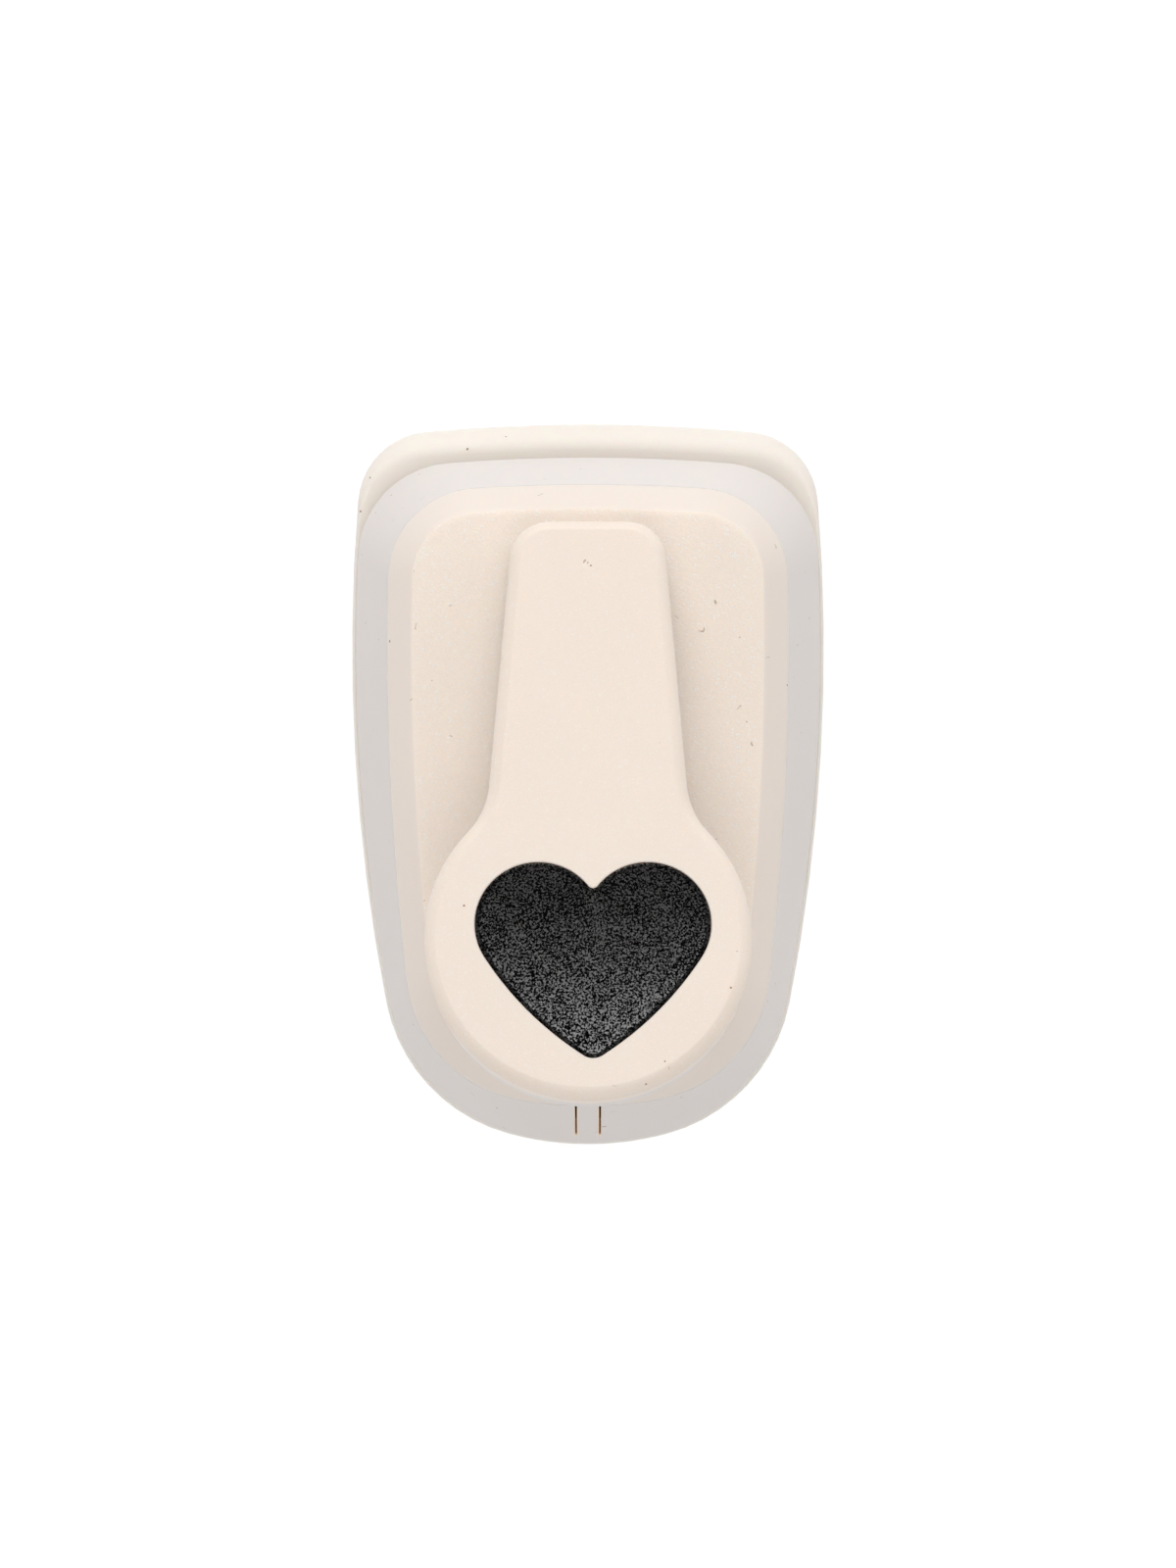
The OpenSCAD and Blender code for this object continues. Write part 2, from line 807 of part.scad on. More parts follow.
module return_spring_left() {
    return_spring(-1);
}

module return_spring_right() {
    return_spring(1);
}

module crosshead() {
    color(zinc)
        translate([0, ram_y, 0])
            difference() {
                union() {
                    translate([-post_x, -crosshead_arm_w / 2, crosshead_z])
                        cube([2 * post_x, crosshead_arm_w, crosshead_t]);
                    pair([post_x, 0])
                        rod(post_d + 2 * eye_wall, crosshead_z, arms_top);
                    plate(2 * boss_x, -crosshead_w / 2, crosshead_w / 2, small_corner,
                          crosshead_z, crosshead_top);
                }
                pair([post_x, 0])
                    rod(post_d + 2 * pin_gap, crosshead_z - 1, arms_top + 1);
                for (s = [-1, 1])
                    translate([0, s * ram_screw_y, 0]) {
                        rod(small_screw_d + 2 * fit_gap, crosshead_z - 1, crosshead_top + 1);
                        rod(small_head_d + 2 * fit_gap, ram_screw_z, crosshead_top + 1);
                    }
            }
}

module punch_ram() {
    color(steel)
        translate([0, ram_y, 0])
            difference() {
                prism(heart_outline(), ram_z, crosshead_z);
                translate([0, 0, ram_z + shear_rise - shear_r])
                    rotate([90, 0, 0])
                        cylinder(r = shear_r, h = 2 * heart_w, center = true, $fn = 120);
                for (s = [-1, 1])
                    translate([0, s * ram_screw_y, 0])
                        rod(small_screw_d, crosshead_z - small_hole, crosshead_z + 1);
            }
}

module ram_screws() {
    color(dark_steel)
        translate([0, ram_y, 0])
            for (s = [-1, 1])
                translate([0, s * ram_screw_y, 0])
                    pan_screw(small_screw_d, small_head_d, small_head_h, ram_screw_z,
                              small_length);
}

// Lever

module arm_cheek() {
    rotate([90, 0, 90])
        linear_extrude(arm_t)
            difference() {
                union() {
                    hull() {
                        circle(eye_r);
                        translate([-press_reach, -press_drop])
                            circle(press_d / 2 + press_wall);
                        translate([-cheek_len, shoulder_z])
                            square([cheek_len - cheek_nose, 2 * shoulder_t]);
                    }
                    translate([-cheek_len, shoulder_z + shoulder_t])
                        square([cheek_len - cheek_nose, arm_top - shoulder_z - shoulder_t]);
                }
                circle(d = pin_d + 2 * pin_gap);
                translate([-press_reach, -press_drop])
                    circle(d = press_d);
            }
}

module lever_arm() {
    web_len = pad_reach - web_tail;
    color(steel)
        on_lever() {
            translate([arm_gap / 2, 0, 0])
                arm_cheek();
            translate([-arm_x, 0, 0])
                arm_cheek();
            difference() {
                translate([-arm_x, -web_len, floor_top])
                    cube([2 * arm_x, web_len - cheek_nose, arm_t]);
                for (s = [-1, 1])
                    translate([s * lever_screw_spots[0].x, -lever_screw_spots[0].y, 0])
                        rod(small_screw_d + 2 * fit_gap, floor_top - 1, arm_top + 1);
            }
        }
}

module press_bar() {
    color(dark_steel)
        on_lever()
            translate([0, -press_reach, -press_drop])
                rotate([0, 90, 0])
                    cylinder(d = press_d, h = 2 * (arm_x + press_end), center = true);
}

module lever_pin() {
    groove_x = ear_out + seat_gap;
    color(steel)
        translate([0, pin_y, pin_z])
            rotate([0, 90, 0])
                difference() {
                    union() {
                        rod(pin_d, -ear_out - pin_head_t / 2, groove_x + clip_t + pin_end);
                        rod(pin_d + 2 * pin_head_rim, -ear_out - pin_head_t, -ear_out);
                    }
                    groove(pin_d, groove_x);
                }
}

module pin_clip() {
    color(dark_steel)
        translate([ear_out + seat_gap, pin_y, pin_z])
            rotate([0, 90, 0])
                rotate(90)
                    clip(pin_d);
}

module pin_washers() {
    color(steel)
        for (s = [-1, 1])
            translate([s * (arm_x + ear_in) / 2, pin_y, pin_z])
                rotate([0, 90, 0])
                    difference() {
                        cylinder(d = pin_d + 2 * washer_rim, h = washer_t, center = true);
                        cylinder(d = pin_d + 2 * pin_gap, h = 1, center = true);
                    }
}

module lever_body() {
    slot_size = [arm_t + 2 * slot_gap, cheek_len - cheek_nose + 2 * slot_gap, floor_t + 2];
    rebate = lever_wall + fit_gap;
    color(light_grey)
        on_lever()
            difference() {
                union() {
                    skin([[lever_outline(body_round + seam_step), lever_low],
                          [lever_outline(2 * seam_step), lever_low + body_round],
                          [lever_outline(seam_step), cap_low - eps]]);
                    prism(lever_outline(rebate), cap_low - 1, cap_ceiling - rim_gap);
                }
                prism(lever_outline(rebate + locating_t), floor_top, cap_ceiling + 1);
                for (s = [-1, 1])
                    translate([s * (arm_gap + arm_t) / 2 - slot_size.x / 2,
                               -cheek_len - slot_gap, lever_low - 1])
                        cube(slot_size);
                for (spot = lever_screw_spots)
                    pair([spot.x, -spot.y])
                        sunk_hole(small_screw_d, small_head_d, lever_low, lever_top);
            }
}

module lever_cap() {
    color(cream)
        on_lever()
            difference() {
                union() {
                    skin([[lever_outline(lever_wall), cap_ceiling],
                          [lever_outline(lever_wall), cap_low],
                          [lever_outline(cap_draft), cap_low],
                          [lever_outline(0), lever_top - lever_chamfer],
                          [lever_outline(lever_chamfer), lever_top]]);
                    for (spot = lever_screw_spots)
                        pair([spot.x, -spot.y])
                            rod(small_screw_d + 2 * eye_wall,
                                (spot == lever_screw_spots[0] ? arm_top : floor_top) + seat_gap,
                                cap_ceiling + boss_root);
                }
                translate([inlay_shift, -heart_reach, 0])
                    prism(heart_outline(-fit_gap / 2), lever_top - inlay_t, lever_top + 1);
                for (spot = lever_screw_spots)
                    pair([spot.x, -spot.y])
                        rod(small_screw_d, lever_low, cap_ceiling + boss_hole);
            }
}

module heart_inlay() {
    color(ink_black)
        on_lever()
            translate([inlay_shift, -heart_reach, 0])
                prism(heart_outline(), lever_top - inlay_t + eps, lever_top - inlay_sunk);
}

module lever_screws() {
    color(dark_steel)
        on_lever()
            for (spot = lever_screw_spots)
                pair([spot.x, -spot.y])
                    sunk_screw(small_screw_d, small_head_d, lever_low + sink_gap,
                               cap_ceiling + boss_hole - 2 * sink_gap - lever_low);
}

// Housing and cover

module housing_lug(side) {
    wall_x = housing_x(guide_top + 1, top_screw.y) - shell_wall / 2;
    translate([side > 0 ? top_screw.x - lug_half : -wall_x, top_screw.y - lug_half, guide_top])
        cube([wall_x - top_screw.x + lug_half, 2 * lug_half, lug_t]);
}

module hook_ledge(side, y) {
    x = rim_x(y, shell_wall) - catch_proud;
    translate([side > 0 ? x : -x - catch_size.x, y - catch_size.y / 2, housing_z - catch_drop])
        cube(catch_size);
}

module middle_housing() {
    color(light_grey)
        difference() {
            union() {
                difference() {
                    skin([[foot_outline(), table_z], [foot_outline(), slot_top],
                          [rim_outline(), housing_z]]);
                    skin([[foot_outline(shell_wall), table_z - 1],
                          [foot_outline(shell_wall), slot_top],
                          [rim_outline(shell_wall), housing_z + eps]]);
                }
                difference() {
                    prism(foot_outline(shell_wall / 2), slot_top, slot_top + housing_floor_t);
                    translate([-base_w, -2 * base_len + frame_rear, slot_top - 1])
                        cube([2 * base_w, 2 * base_len, housing_floor_t + 2]);
                }
                for (s = [-1, 1]) {
                    housing_lug(s);
                    for (y = hook_ys)
                        hook_ledge(s, y);
                }
                pair(rear_screw) {
                    rod(screw_d + 2 * rear_boss_wall, table_z, housing_z - rear_boss_drop);
                    translate([-boss_rib_t / 2, -boss_rib_out, table_z])
                        cube([boss_rib_t, boss_rib_out - screw_d / 2,
                              housing_z - boss_rib_drop - table_z]);
                }
            }
            prism(frame_outline(-frame_gap), table_z - 1, guide_top);
            translate([-base_w, throat_y, table_z - 1])
                cube([2 * base_w, base_len, slot_h + 1]);
            pair(rear_screw)
                rod(screw_d, table_z - 1, table_z + rear_grip + hole_spare);
            pair(top_screw)
                rod(small_screw_d + 2 * fit_gap, guide_top - 1, guide_top + lug_t + 1);
            for (s = [-1, 1])
                translate([s * (tongue_w + slit_w) / 2 - slit_w / 2, rear_y - 1, table_z - 1])
                    cube([slit_w, rear_lean + shell_wall + 2, housing_z - slit_end - table_z + 1]);
        }
}

module housing_screws() {
    color(dark_steel)
        pair(top_screw)
            pan_screw(small_screw_d, small_head_d, small_head_h, guide_top + lug_t,
                      small_length);
}

module cover_hook(side, y) {
    x = rim_x(y, shell_wall) - hook_reach;
    for (size = [[hook_t, hook_w, hook_drop + 1], [hook_reach, hook_w, hook_nose]])
        translate([side > 0 ? x : -x - size.x, y - hook_w / 2, housing_z - hook_drop])
            cube(size);
}

module top_cover() {
    window_y0 = ram_y - window_rear;
    window_y1 = pin_y + window_front;
    lip = shell_wall + fit_gap;
    ceiling = cover_z - shell_wall;
    color(cream)
        difference() {
            union() {
                skin(concat([[rim_outline(bevel_w + ceiling_in), ceiling],
                             [rim_outline(lip + rim_t), housing_z],
                             [rim_outline(lip + rim_t), housing_z - rim_drop],
                             [rim_outline(lip), housing_z - rim_drop],
                             [rim_outline(lip), housing_z + eps],
                             [rim_outline(cover_inset), housing_z + eps],
                             [rim_outline(seam_round.x), housing_z + seam_round.y]],
                            [for (e = soft_edge) [rim_outline(bevel_w + e.x), cover_z - e.y]]));
                for (s = [-1, 1], y = hook_ys)
                    cover_hook(s, y);
            }
            plate(2 * (arm_x + window_side), window_y0, window_y1, small_corner,
                  housing_z - 2, cover_z + 1);
        }
}

base_shell();
bottom_plate();
die_plate();
throat_spacer();
guide_block();
frame_screws();
guide_posts();
post_clips();
return_spring_left();
return_spring_right();
punch_ram();
crosshead();
ram_screws();
lever_arm();
press_bar();
lever_pin();
pin_clip();
pin_washers();
lever_body();
lever_cap();
heart_inlay();
lever_screws();
middle_housing();
housing_screws();
top_cover();
base_screws_front();
base_screws_rear();
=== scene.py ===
"""Looks of a lever-operated craft paper punch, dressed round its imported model.

Lengths in the classes are millimetres, as in the part's source, and become
metres when a mesh is made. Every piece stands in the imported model's frame:
+Y towards the paper slot, +Z up, the resting face at zero. A profile is a row
of pairs: how far in from an outline, and the height there.
"""

from __future__ import annotations

import logging
import math
from dataclasses import dataclass
from enum import Enum
from typing import Callable, ClassVar, Iterable, Sequence

import bmesh
import bpy
from mathutils import Matrix, Vector

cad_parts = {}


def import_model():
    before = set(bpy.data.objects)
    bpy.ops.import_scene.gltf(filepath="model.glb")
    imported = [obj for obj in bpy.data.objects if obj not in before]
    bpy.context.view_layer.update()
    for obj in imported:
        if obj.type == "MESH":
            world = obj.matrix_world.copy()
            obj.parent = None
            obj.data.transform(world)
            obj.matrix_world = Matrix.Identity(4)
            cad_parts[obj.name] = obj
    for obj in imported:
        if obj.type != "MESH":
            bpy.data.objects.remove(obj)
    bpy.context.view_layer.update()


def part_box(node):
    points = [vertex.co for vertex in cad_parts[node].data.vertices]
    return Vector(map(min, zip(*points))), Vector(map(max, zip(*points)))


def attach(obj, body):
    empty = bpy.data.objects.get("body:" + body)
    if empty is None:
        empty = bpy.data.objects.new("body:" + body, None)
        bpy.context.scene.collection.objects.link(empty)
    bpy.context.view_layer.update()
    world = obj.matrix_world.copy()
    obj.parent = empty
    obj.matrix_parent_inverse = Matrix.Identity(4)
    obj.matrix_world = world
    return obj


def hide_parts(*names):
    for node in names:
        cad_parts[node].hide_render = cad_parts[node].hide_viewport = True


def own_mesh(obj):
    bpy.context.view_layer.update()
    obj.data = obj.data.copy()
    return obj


LOG = logging.getLogger("punch")
MM = 0.001
IN_PLACE = Matrix.Identity(4)
WHITE = (1.0, 1.0, 1.0)

ON_AXIS = 0.001  # mm, a point nearer to the middle line has no mirror image
ROD_SIDES = 40
MERGE = 2e-6  # m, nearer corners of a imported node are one
FLAT = 0.4  # degrees, faces that turn less are one
CREASE = 40.0  # degrees, edges that turn more are broken
EDGE_STEPS = 2  # faces across a broken edge
KINDS = {float: "Float", int: "Int", tuple: "Color"}  # sockets by kind of start value

Point = tuple[float, float]
Spot = tuple[float, float, float]
Outline = list[Point]
Profile = Sequence[Point]
Colour = tuple[float, float, float]
Mesh = bpy.types.Mesh
Piece = bpy.types.Object
Node = bpy.types.Node
Socket = bpy.types.NodeSocket


class Body(str, Enum):
    """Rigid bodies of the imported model."""

    FRAME = "body_frame"
    LEVER = "lever"
    RAM = "ram"


class Slot(str, Enum):
    """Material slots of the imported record."""

    CREAM = "cream_plastic"
    GREY = "grey_plastic"
    BLACK = "black_inlay"
    STEEL = "tool_steel"
    ZINC = "zinc_casting"
    WIRE = "spring_wire"
    DARK = "dark_screws"


class Work(str, Enum):
    """What tools do to a piece."""

    ADD = "UNION"
    REMOVE = "DIFFERENCE"


class Head(Enum):
    """Shapes of a screw's head, with its width and height for each shank."""

    SUNK = {3.0: (5.4, 1.2), 2.0: (3.8, 0.9)}
    PAN = {3.0: (5.4, 1.8), 2.0: (3.8, 1.3)}


def srgb(*levels: int) -> Colour:
    """Turns a colour's display values, 0 to 255, into linear light."""
    parts = [level / 255 for level in levels]
    return tuple(v / 12.92 if v <= 0.04045 else ((v + 0.055) / 1.055) ** 2.4 for v in parts)


# Outlines seen from above


def arc(centre: Point, radius: float, start: float, end: float, count: int) -> Outline:
    """Points of an arc from one angle in degrees to another, without the last."""
    angles = [math.radians(start + (end - start) * i / count) for i in range(count)]
    return [(centre[0] + radius * math.cos(a), centre[1] + radius * math.sin(a)) for a in angles]


def bearing(tip: Point, tail: Point) -> float:
    """Angle in degrees of the line from tail to tip."""
    return math.degrees(math.atan2(tip[1] - tail[1], tip[0] - tail[0]))


def crossing(p: Point, rp: float, q: Point, rq: float, turn: int) -> Point:
    """Where two circles cross.

    Args:
        p: Middle of the first circle.
        rp: Radius of the first circle.
        q: Middle of the second circle.
        rq: Radius of the second circle.
        turn: 1 or -1, the side that is wanted.

    Returns:
        The crossing point.
    """
    dx, dy = q[0] - p[0], q[1] - p[1]
    d = math.hypot(dx, dy)
    a = (rp * rp - rq * rq + d * d) / (2 * d)
    h = math.sqrt(rp * rp - a * a)
    ex, ey = dx / d, dy / d
    return p[0] + a * ex - turn * h * ey, p[1] + a * ey + turn * h * ex


def whole(half: Outline) -> Outline:
    """A right half, front to rear, with its mirror image added."""
    return half + [(-x, y) for x, y in reversed(half) if x > ON_AXIS]


@dataclass(frozen=True)
class RimOutline:
    """The housing's rim: five tangent arcs on each side of a tapering body."""

    half_w: float = 20.7
    side_r: float = 300.0
    side_y: float = 14.3
    front: float = 30.85
    front_bow: float = 184.0
    front_corner: float = 9.4
    rear: float = -33.15
    rear_bow: float = 40.0
    rear_corner: float = 14.0
    steps: tuple[int, ...] = (12, 28, 24, 28, 16)

    def at(self, inset: float) -> Outline:
        """Points of the outline.

        Args:
            inset: How far it is drawn in all round.

        Returns:
            The closed outline, from the middle of the front.
        """
        side = (self.half_w - self.side_r, self.side_y)
        nose = (0.0, self.front - self.front_bow)
        tail = (0.0, self.rear + self.rear_bow)
        k1 = crossing(side, self.side_r - self.front_corner,
                      nose, self.front_bow - self.front_corner, 1)
        k2 = crossing(side, self.side_r - self.rear_corner,
                      tail, self.rear_bow - self.rear_corner, -1)
        circles = ((nose, self.front_bow), (k1, self.front_corner), (side, self.side_r),
                   (k2, self.rear_corner), (tail, self.rear_bow))
        turns = (90, bearing(k1, nose), bearing(k1, side), bearing(k2, side),
                 bearing(k2, tail), -90)
        half = []
        for (centre, r), start, end, count in zip(circles, turns, turns[1:], self.steps):
            half += arc(centre, r - inset, start, end, count)
        return whole(half + [(0.0, self.rear + inset)])


@dataclass(frozen=True)
class LeverOutline:
    """The keyhole of stem and round pad, with the pin at the origin."""

    pad_reach: float = 40.3
    pad_r: float = 16.4
    stem_w: float = 15.8
    stem_taper: float = 4.8
    stem_nose: float = 3.4
    stem_corner: float = 4.1
    neck_r: float = 8.0
    steps: tuple[int, int, int] = (20, 20, 72)

    def at(self, inset: float) -> Outline:
        """Points of the outline.

        Args:
            inset: How far it is drawn in all round.

        Returns:
            The closed outline, from the middle of the stem's front.
        """
        taper = math.radians(self.stem_taper)
        nx, ny = math.cos(taper), math.sin(taper)
        reach = self.stem_w / 2 * nx
        corner = ((reach - self.stem_corner - (self.stem_nose - self.stem_corner) * ny) / nx,
                  self.stem_nose - self.stem_corner)
        out = reach + self.neck_r
        across = out + self.pad_reach * ny
        along = self.pad_reach * nx - math.sqrt((self.pad_r + self.neck_r) ** 2 - across**2)
        neck, pad = (out * nx + along * ny, out * ny - along * nx), (0.0, -self.pad_reach)
        turn, r = bearing(neck, pad), self.stem_corner - inset
        half = arc(corner, r, 90, self.stem_taper, self.steps[0])
        half += [(corner[0] + r * nx, corner[1] + r * ny)]
        half += arc(neck, self.neck_r + inset, 180 + self.stem_taper, 180 + turn, self.steps[1])
        half += arc(pad, self.pad_r - inset, turn, -90, self.steps[2])
        return whole(half + [(0.0, -self.pad_reach - self.pad_r + inset)])


@dataclass(frozen=True)
class HeartOutline:
    """A heart about its own middle, with its tip at -Y."""

    width: float = 23.5
    lobe_r: float = 6.28
    lobe_y: float = 3.74
    lobe_end: float = -32.4
    flank_r: float = 33.1
    flank_end: float = -55.2
    tip_r: float = 1.7
    notch_r: float = 0.65
    notch_least: float = 0.02
    steps: tuple[int, int, int, int] = (8, 44, 24, 14)

    def at(self, inset: float) -> Outline:
        """Points of the outline.

        Args:
            inset: How far it is drawn in all round.

        Returns:
            The closed outline, from the notch.
        """
        lobe = (self.width / 2 - self.lobe_r, self.lobe_y)
        end = math.radians(self.lobe_end)
        gap = self.flank_r - self.lobe_r
        flank = (lobe[0] - gap * math.cos(end), lobe[1] - gap * math.sin(end))
        nx, ny = math.cos(math.radians(self.flank_end)), math.sin(math.radians(self.flank_end))
        tip_y = (flank[0] * nx + flank[1] * ny + self.flank_r - self.tip_r) / ny
        r, rn, rf = self.lobe_r - inset, self.notch_r + inset, self.flank_r - inset
        rn = max(rn, self.notch_least)
        notch = (0.0, lobe[1] + math.sqrt((r + rn) ** 2 - lobe[0] ** 2))
        turn = bearing(lobe, notch)
        half = arc(notch, rn, -90, turn, self.steps[0])
        half += arc(lobe, r, 180 + turn, self.lobe_end, self.steps[1])
        half += arc(flank, rf, self.lobe_end, self.flank_end, self.steps[2])
        half += [(flank[0] + rf * nx, flank[1] + rf * ny)]
        half += arc((0.0, tip_y), self.tip_r - inset, self.flank_end, -90, self.steps[3])
        return whole(half + [(0.0, tip_y - self.tip_r + inset)])


# Mesh making


def soften(profile: Profile, reach: float, steps: int, share: float = 0.45) -> list[Point]:
    """Rounds the inner corners of a profile.

    Args:
        profile: The profile.
        reach: How far the rounding runs along each side of a corner.
        steps: Number of lines in each rounding.
        share: The most of a side that one rounding takes.

    Returns:
        The profile with its corners rounded.
    """
    points = [Vector(p) for p in profile]
    out = [points[0]]
    for before, corner, after in zip(points, points[1:], points[2:]):
        a, b = before - corner, after - corner
        a = a.normalized() * min(reach, a.length * share)
        b = b.normalized() * min(reach, b.length * share)
        out += [corner + a * (1 - i / steps) ** 2 + b * (i / steps) ** 2
                for i in range(steps + 1)]
    return [(p.x, p.y) for p in [*out, points[-1]]]


def loft(name: str, shape: Callable[[float], Outline], profile: Profile,
         place: Matrix = IN_PLACE) -> Mesh:
    """A closed skin through the outlines of a profile.

    Args:
        name: Name of the mesh.
        shape: Gives an outline for the first number of a pair.
        profile: That number and the height, outline by outline.
        place: Where the skin stands, in millimetres.

    Returns:
        The closed mesh in metres, with one flat face at each end.
    """
    rings = [(shape(size), z) for size, z in profile]
    verts = [tuple((place @ Vector((x, y, z))) * MM) for outline, z in rings for x, y in outline]
    count, last = len(rings[0][0]), len(rings) - 1
    faces: list[Sequence[int]] = []
    for a in range(0, last * count, count):
        b = a + count
        for i, j in zip(range(count), [*range(1, count), 0]):
            faces.append((a + j, a + i, b + i, b + j))
    faces += [tuple(range(count)), tuple(reversed(range(last * count, len(verts))))]
    mesh = bpy.data.meshes.new(name)
    mesh.from_pydata(verts, [], faces)
    mesh.update()
    bm = bmesh.new()
    bm.from_mesh(mesh)
    bmesh.ops.recalc_face_normals(bm, faces=bm.faces)
    bm.to_mesh(mesh)
    bm.free()
    return mesh


def box_mesh(low: Spot, high: Spot, place: Matrix = IN_PLACE) -> Mesh:
    """A box between two corners, as a tool."""
    corners = [(low[0], low[1]), (high[0], low[1]), (high[0], high[1]), (low[0], high[1])]
    return loft("box", lambda _: corners, [(0, low[2]), (0, high[2])], place)


def rod_mesh(spot: Point, profile: Profile, place: Matrix) -> Mesh:
    """A round tool about an upright axis, its profile in widths and heights."""
    return loft("rod", lambda d: arc(spot, d / 2, 0, 360, ROD_SIDES), profile, place)


def add_object(mesh: Mesh) -> Piece:
    """Links a mesh to the scene as an object at the origin.

    Args:
        mesh: The mesh, which gives the object its name.

    Returns:
        The new object.
    """
    obj = bpy.data.objects.new(mesh.name, mesh)
    bpy.context.scene.collection.objects.link(obj)
    return obj


def bake(obj: Piece) -> None:
    """Turns an object with modifiers into a plain mesh.

    Args:
        obj: The object, whose modifiers are cleared.
    """
    bpy.context.view_layer.update()
    graph = bpy.context.evaluated_depsgraph_get()
    mesh = bpy.data.meshes.new_from_object(obj.evaluated_get(graph), depsgraph=graph)
    obj.modifiers.clear()
    old, obj.data = obj.data, mesh
    name = old.name
    bpy.data.meshes.remove(old)
    mesh.name = name


def cut(obj: Piece, work: Work, tools: Iterable[Mesh]) -> None:
    """Cuts tools out of an object, or joins them to it.

    Args:
        obj: The object that is changed.
        work: What the tools do.
        tools: Closed meshes, each used once and then removed.
    """
    helpers = [add_object(mesh) for mesh in tools]
    for helper in helpers:
        modifier = obj.modifiers.new("cut", "BOOLEAN")
        modifier.operation, modifier.solver, modifier.object = work.value, "EXACT", helper
    bake(obj)
    for helper in helpers:
        mesh = helper.data
        bpy.data.objects.remove(helper)
        bpy.data.meshes.remove(mesh)


def smooth(obj: Piece, angle: float = 32.0, weight: int = 90) -> Piece:
    """Shades a piece smooth, while large flat faces keep their own normals.

    Args:
        obj: The piece.
        angle: Edges sharper than this stay crisp, in degrees.
        weight: How much large faces count.

    Returns:
        The same piece.
    """
    obj.data.shade_smooth()
    obj.data.set_sharp_from_angle(angle=math.radians(angle))
    modifier = obj.modifiers.new("weigh", "WEIGHTED_NORMAL")
    modifier.keep_sharp, modifier.weight = True, weight
    bake(obj)
    return obj


def fine_copy(node: str, edge: float) -> Piece:
    """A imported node's shape as clean faces, with its edges broken.

    Args:
        node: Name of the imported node.
        edge: Width of the broken edges in millimetres.

    Returns:
        The new piece, which isn't dressed yet.
    """
    mesh = bpy.data.objects[node].data.copy()
    mesh.name = node + "_fine"
    bm = bmesh.new()
    bm.from_mesh(mesh)
    bmesh.ops.remove_doubles(bm, verts=bm.verts, dist=MERGE)
    bmesh.ops.dissolve_limit(bm, angle_limit=math.radians(FLAT), verts=bm.verts,
                             edges=bm.edges, use_dissolve_boundaries=False)
    bm.to_mesh(mesh)
    bm.free()
    mesh.materials.clear()
    obj = add_object(mesh)
    modifier = obj.modifiers.new("edges", "BEVEL")
    modifier.width, modifier.segments = edge * MM, EDGE_STEPS
    modifier.limit_method, modifier.angle_limit = "ANGLE", math.radians(CREASE)
    modifier.use_clamp_overlap, modifier.miter_outer = True, "MITER_ARC"
    bake(obj)
    return smooth(obj)


# Node trees


class Nodes:
    """A node tree with short calls for adding and joining nodes."""

    def __init__(self, tree: bpy.types.NodeTree) -> None:
        """Wraps a tree."""
        self.tree = tree

    def join(self, values: dict, node: Node) -> Node:
        """Joins sockets to a node's inputs, or sets the inputs' own values.

        Args:
            values: Sockets and values by input name or number, colours without alpha.
            node: The node.

        Returns:
            The same node.
        """
        for key, value in values.items():
            socket = node.inputs[key]
            if isinstance(value, Socket):
                self.tree.links.new(value, socket)
            else:
                socket.default_value = (*value, 1.0) if socket.type == "RGBA" else value
        return node

    def node(self, kind: str, values: dict | None = None, **settings: object) -> Node:
        """Adds a node.

        Args:
            kind: Blender's name of the node type.
            values: Sockets and values for its inputs.
            **settings: The node's own properties.

        Returns:
            The new node.
        """
        node = self.tree.nodes.new(kind)
        for key, value in settings.items():
            setattr(node, key, value)
        return self.join(values or {}, node)

    def out(self, kind: str, values: dict | None = None, **settings: object) -> Socket:
        """Adds a node and gives its first output."""
        return self.node(kind, values, **settings).outputs[0]

    def math(self, operation: str, a: object, b: object = 0.0, clamp: bool = False) -> Socket:
        """Result of an operation on two values, kept from 0 to 1 if it is clamped."""
        return self.out("ShaderNodeMath", {0: a, 1: b}, operation=operation, use_clamp=clamp)

    def add(self, a: object, b: object, clamp: bool = False) -> Socket:
        """The first value plus the second."""
        return self.math("ADD", a, b, clamp)

    def sub(self, a: object, b: object, clamp: bool = False) -> Socket:
        """The first value minus the second."""
        return self.math("SUBTRACT", a, b, clamp)

    def mul(self, a: object, b: object, clamp: bool = False) -> Socket:
        """The first value times the second."""
        return self.math("MULTIPLY", a, b, clamp)

    def scaled(self, vector: Socket, level: object) -> Socket:
        """A vector or colour times a value."""
        return self.out("ShaderNodeVectorMath", {0: vector, "Scale": level}, operation="SCALE")

    def mix(self, factor: Socket, a: object, b: object) -> Socket:
        """A mix of two colours."""
        node = self.node("ShaderNodeMix", {0: factor, 6: a, 7: b}, data_type="RGBA")
        return node.outputs[2]

    def noise(self, vector: Socket, scale: object, detail: float = 2.0,
              roughness: float = 0.5) -> Sequence[Socket]:
        """Value and colour of a noise."""
        values = {"Vector": vector, "Scale": scale, "Detail": detail, "Roughness": roughness}
        return self.node("ShaderNodeTexNoise", values).outputs

    def cells(self, vector: Socket, scale: object) -> tuple[Socket, Sequence[Socket]]:
        """Random cells.

        Args:
            vector: The place.
            scale: Cells in a metre.

        Returns:
            The distance to a cell's middle, and three lots that each cell draws.
        """
        cells = self.node("ShaderNodeTexVoronoi", {"Vector": vector, "Scale": scale}).outputs
        lots = self.node("ShaderNodeSeparateColor", {"Color": cells["Color"]})
        return cells["Distance"], lots.outputs


